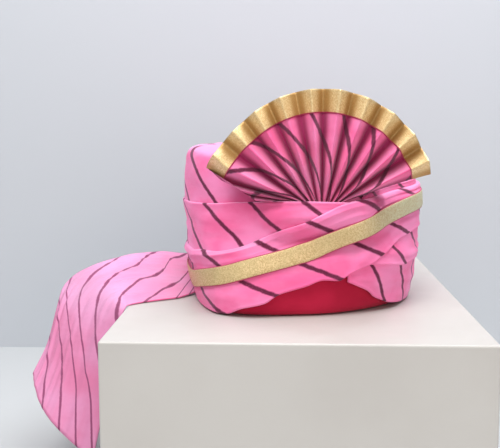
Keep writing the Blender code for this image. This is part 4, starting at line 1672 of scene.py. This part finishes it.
@dataclass
class Studio:
    """Pale floor and wall, soft light and the camera."""

    floor_half: float = 3.0
    wall_y: float = 0.330
    wall_top: float = 2.5
    floor_shade: Colour = (0.540, 0.555, 0.560)
    wall_shade: Colour = (0.550, 0.580, 0.615)
    sky_shade: Colour = (0.90, 0.93, 1.0)
    sky_power: float = 0.42
    eye: Place = (-0.010, -0.795, 0.306)
    turned: float = 2.3
    pitch: float = 6.9
    focal: float = 860.0
    picture: int = 500
    sensor: float = 36.0
    nearest: float = 0.05
    lamps: tuple[Lamp, ...] = (
        Lamp("key", (-0.35, -0.75, 1.45), 0.7, 13.5, (1.0, 0.985, 0.97)),
        Lamp("top", (0.30, -0.10, 1.5), 0.9, 17.0, (0.95, 0.97, 1.0)),
        Lamp("front", (0.6, -2.2, 0.7), 1.4, 12.5, (1.0, 0.84, 0.72), (0.0, 0.0, 0.15)),
    )

    def sheet(self, corners: list[Place], paint: StudioPaint) -> bpy.types.Object:
        """Make a flat stage piece.

        Args:
            corners: Its corners in order.
            paint: Its finish.

        Returns:
            The piece.
        """
        name = paint.name.removesuffix("_paint")
        mesh = bpy.data.meshes.new(name)
        mesh.from_pydata(corners, [], [tuple(range(len(corners)))])
        mesh.materials.append(paint.material())
        return placed(name, mesh)

    def camera(self) -> None:
        """Set up the camera at the photograph's viewing angle."""
        lens = bpy.data.cameras.new("photo_camera")
        lens.sensor_width = self.sensor
        lens.lens = self.sensor * self.focal / self.picture
        lens.clip_start = self.nearest
        camera = placed("photo_camera", lens)
        camera.location = self.eye
        turned, pitch = math.radians(self.turned), math.radians(self.pitch)
        ahead = Vector((-math.sin(turned), math.cos(turned), 0.0)) * math.cos(pitch)
        ahead.z = -math.sin(pitch)
        camera.rotation_euler = ahead.to_track_quat("-Z", "Y").to_euler()
        bpy.context.scene.camera = camera

    def build(self) -> None:
        """Set up the stage, the lamps, the soft sky and the camera."""
        half, back, top = self.floor_half, self.wall_y, self.wall_top
        floor = self.sheet([(-half, -half, 0.0), (half, -half, 0.0), (half, half, 0.0), (-half, half, 0.0)],
                           StudioPaint("floor_paint", self.floor_shade))
        wall = self.sheet([(-half, back, 0.0), (half, back, 0.0), (half, back, top), (-half, back, top)],
                          StudioPaint("wall_paint", self.wall_shade, one_sided=True))
        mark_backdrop(floor, wall)
        for lamp in self.lamps:
            lamp.hang()
        world = bpy.data.worlds.new("soft_sky")
        world.use_nodes = True
        sky = world.node_tree.nodes["Background"]
        sky.inputs[0].default_value = (*self.sky_shade, 1.0)
        sky.inputs[1].default_value = self.sky_power
        bpy.context.scene.world = world
        self.camera()
        bpy.context.scene.view_settings.view_transform = "Standard"


def main() -> None:
    """Build every piece in order, then the studio."""
    logging.basicConfig(level=logging.INFO, format="%(name)s: %(message)s")
    body = WoundBody()
    # the tail's cotton has a grey painted shade colour, which paints its hanging drop duller and darker
    tail_cotton = StripedCotton("pink_single_cotton", stripe=(0.24, 0.055, 0.13), painted_shade_colour=(0.30, 0.215, 0.30))
    dressing = Dressing(StripedCotton().material(), tail_cotton.material(), PlainRed().material(),
                        GoldWeave().material(), GoldLace().material(), WhitePaint().material())
    block = DisplayBlock()
    block.build(dressing)
    PaddedCap(body).build(dressing)
    crown = Crown(body)
    crown.build(dressing)
    fan = Fan(body)
    layers = ClothLayers(body)
    turn, height = np.meshgrid(layers.turns, layers.heights)
    layers.out = crown.out(turn, height) + (crown.dent + fan.foot_lift) * FOOT.share(turn, height)
    rests_on = ["crown_winding"]
    for wrap in WRAPS:
        wrap.build(layers, dressing, list(rests_on))
        rests_on.append(wrap.name)
    Ribbon().build(layers, dressing)
    fan.build(dressing)
    Tail(body, block).build(dressing)
    Studio().build()
    boxes = {"cad": CAD_BOX, "visual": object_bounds()}
    boxes = {name: [list(corner) for corner in box] for name, box in boxes.items()}


if __name__ == "__main__":
    main()
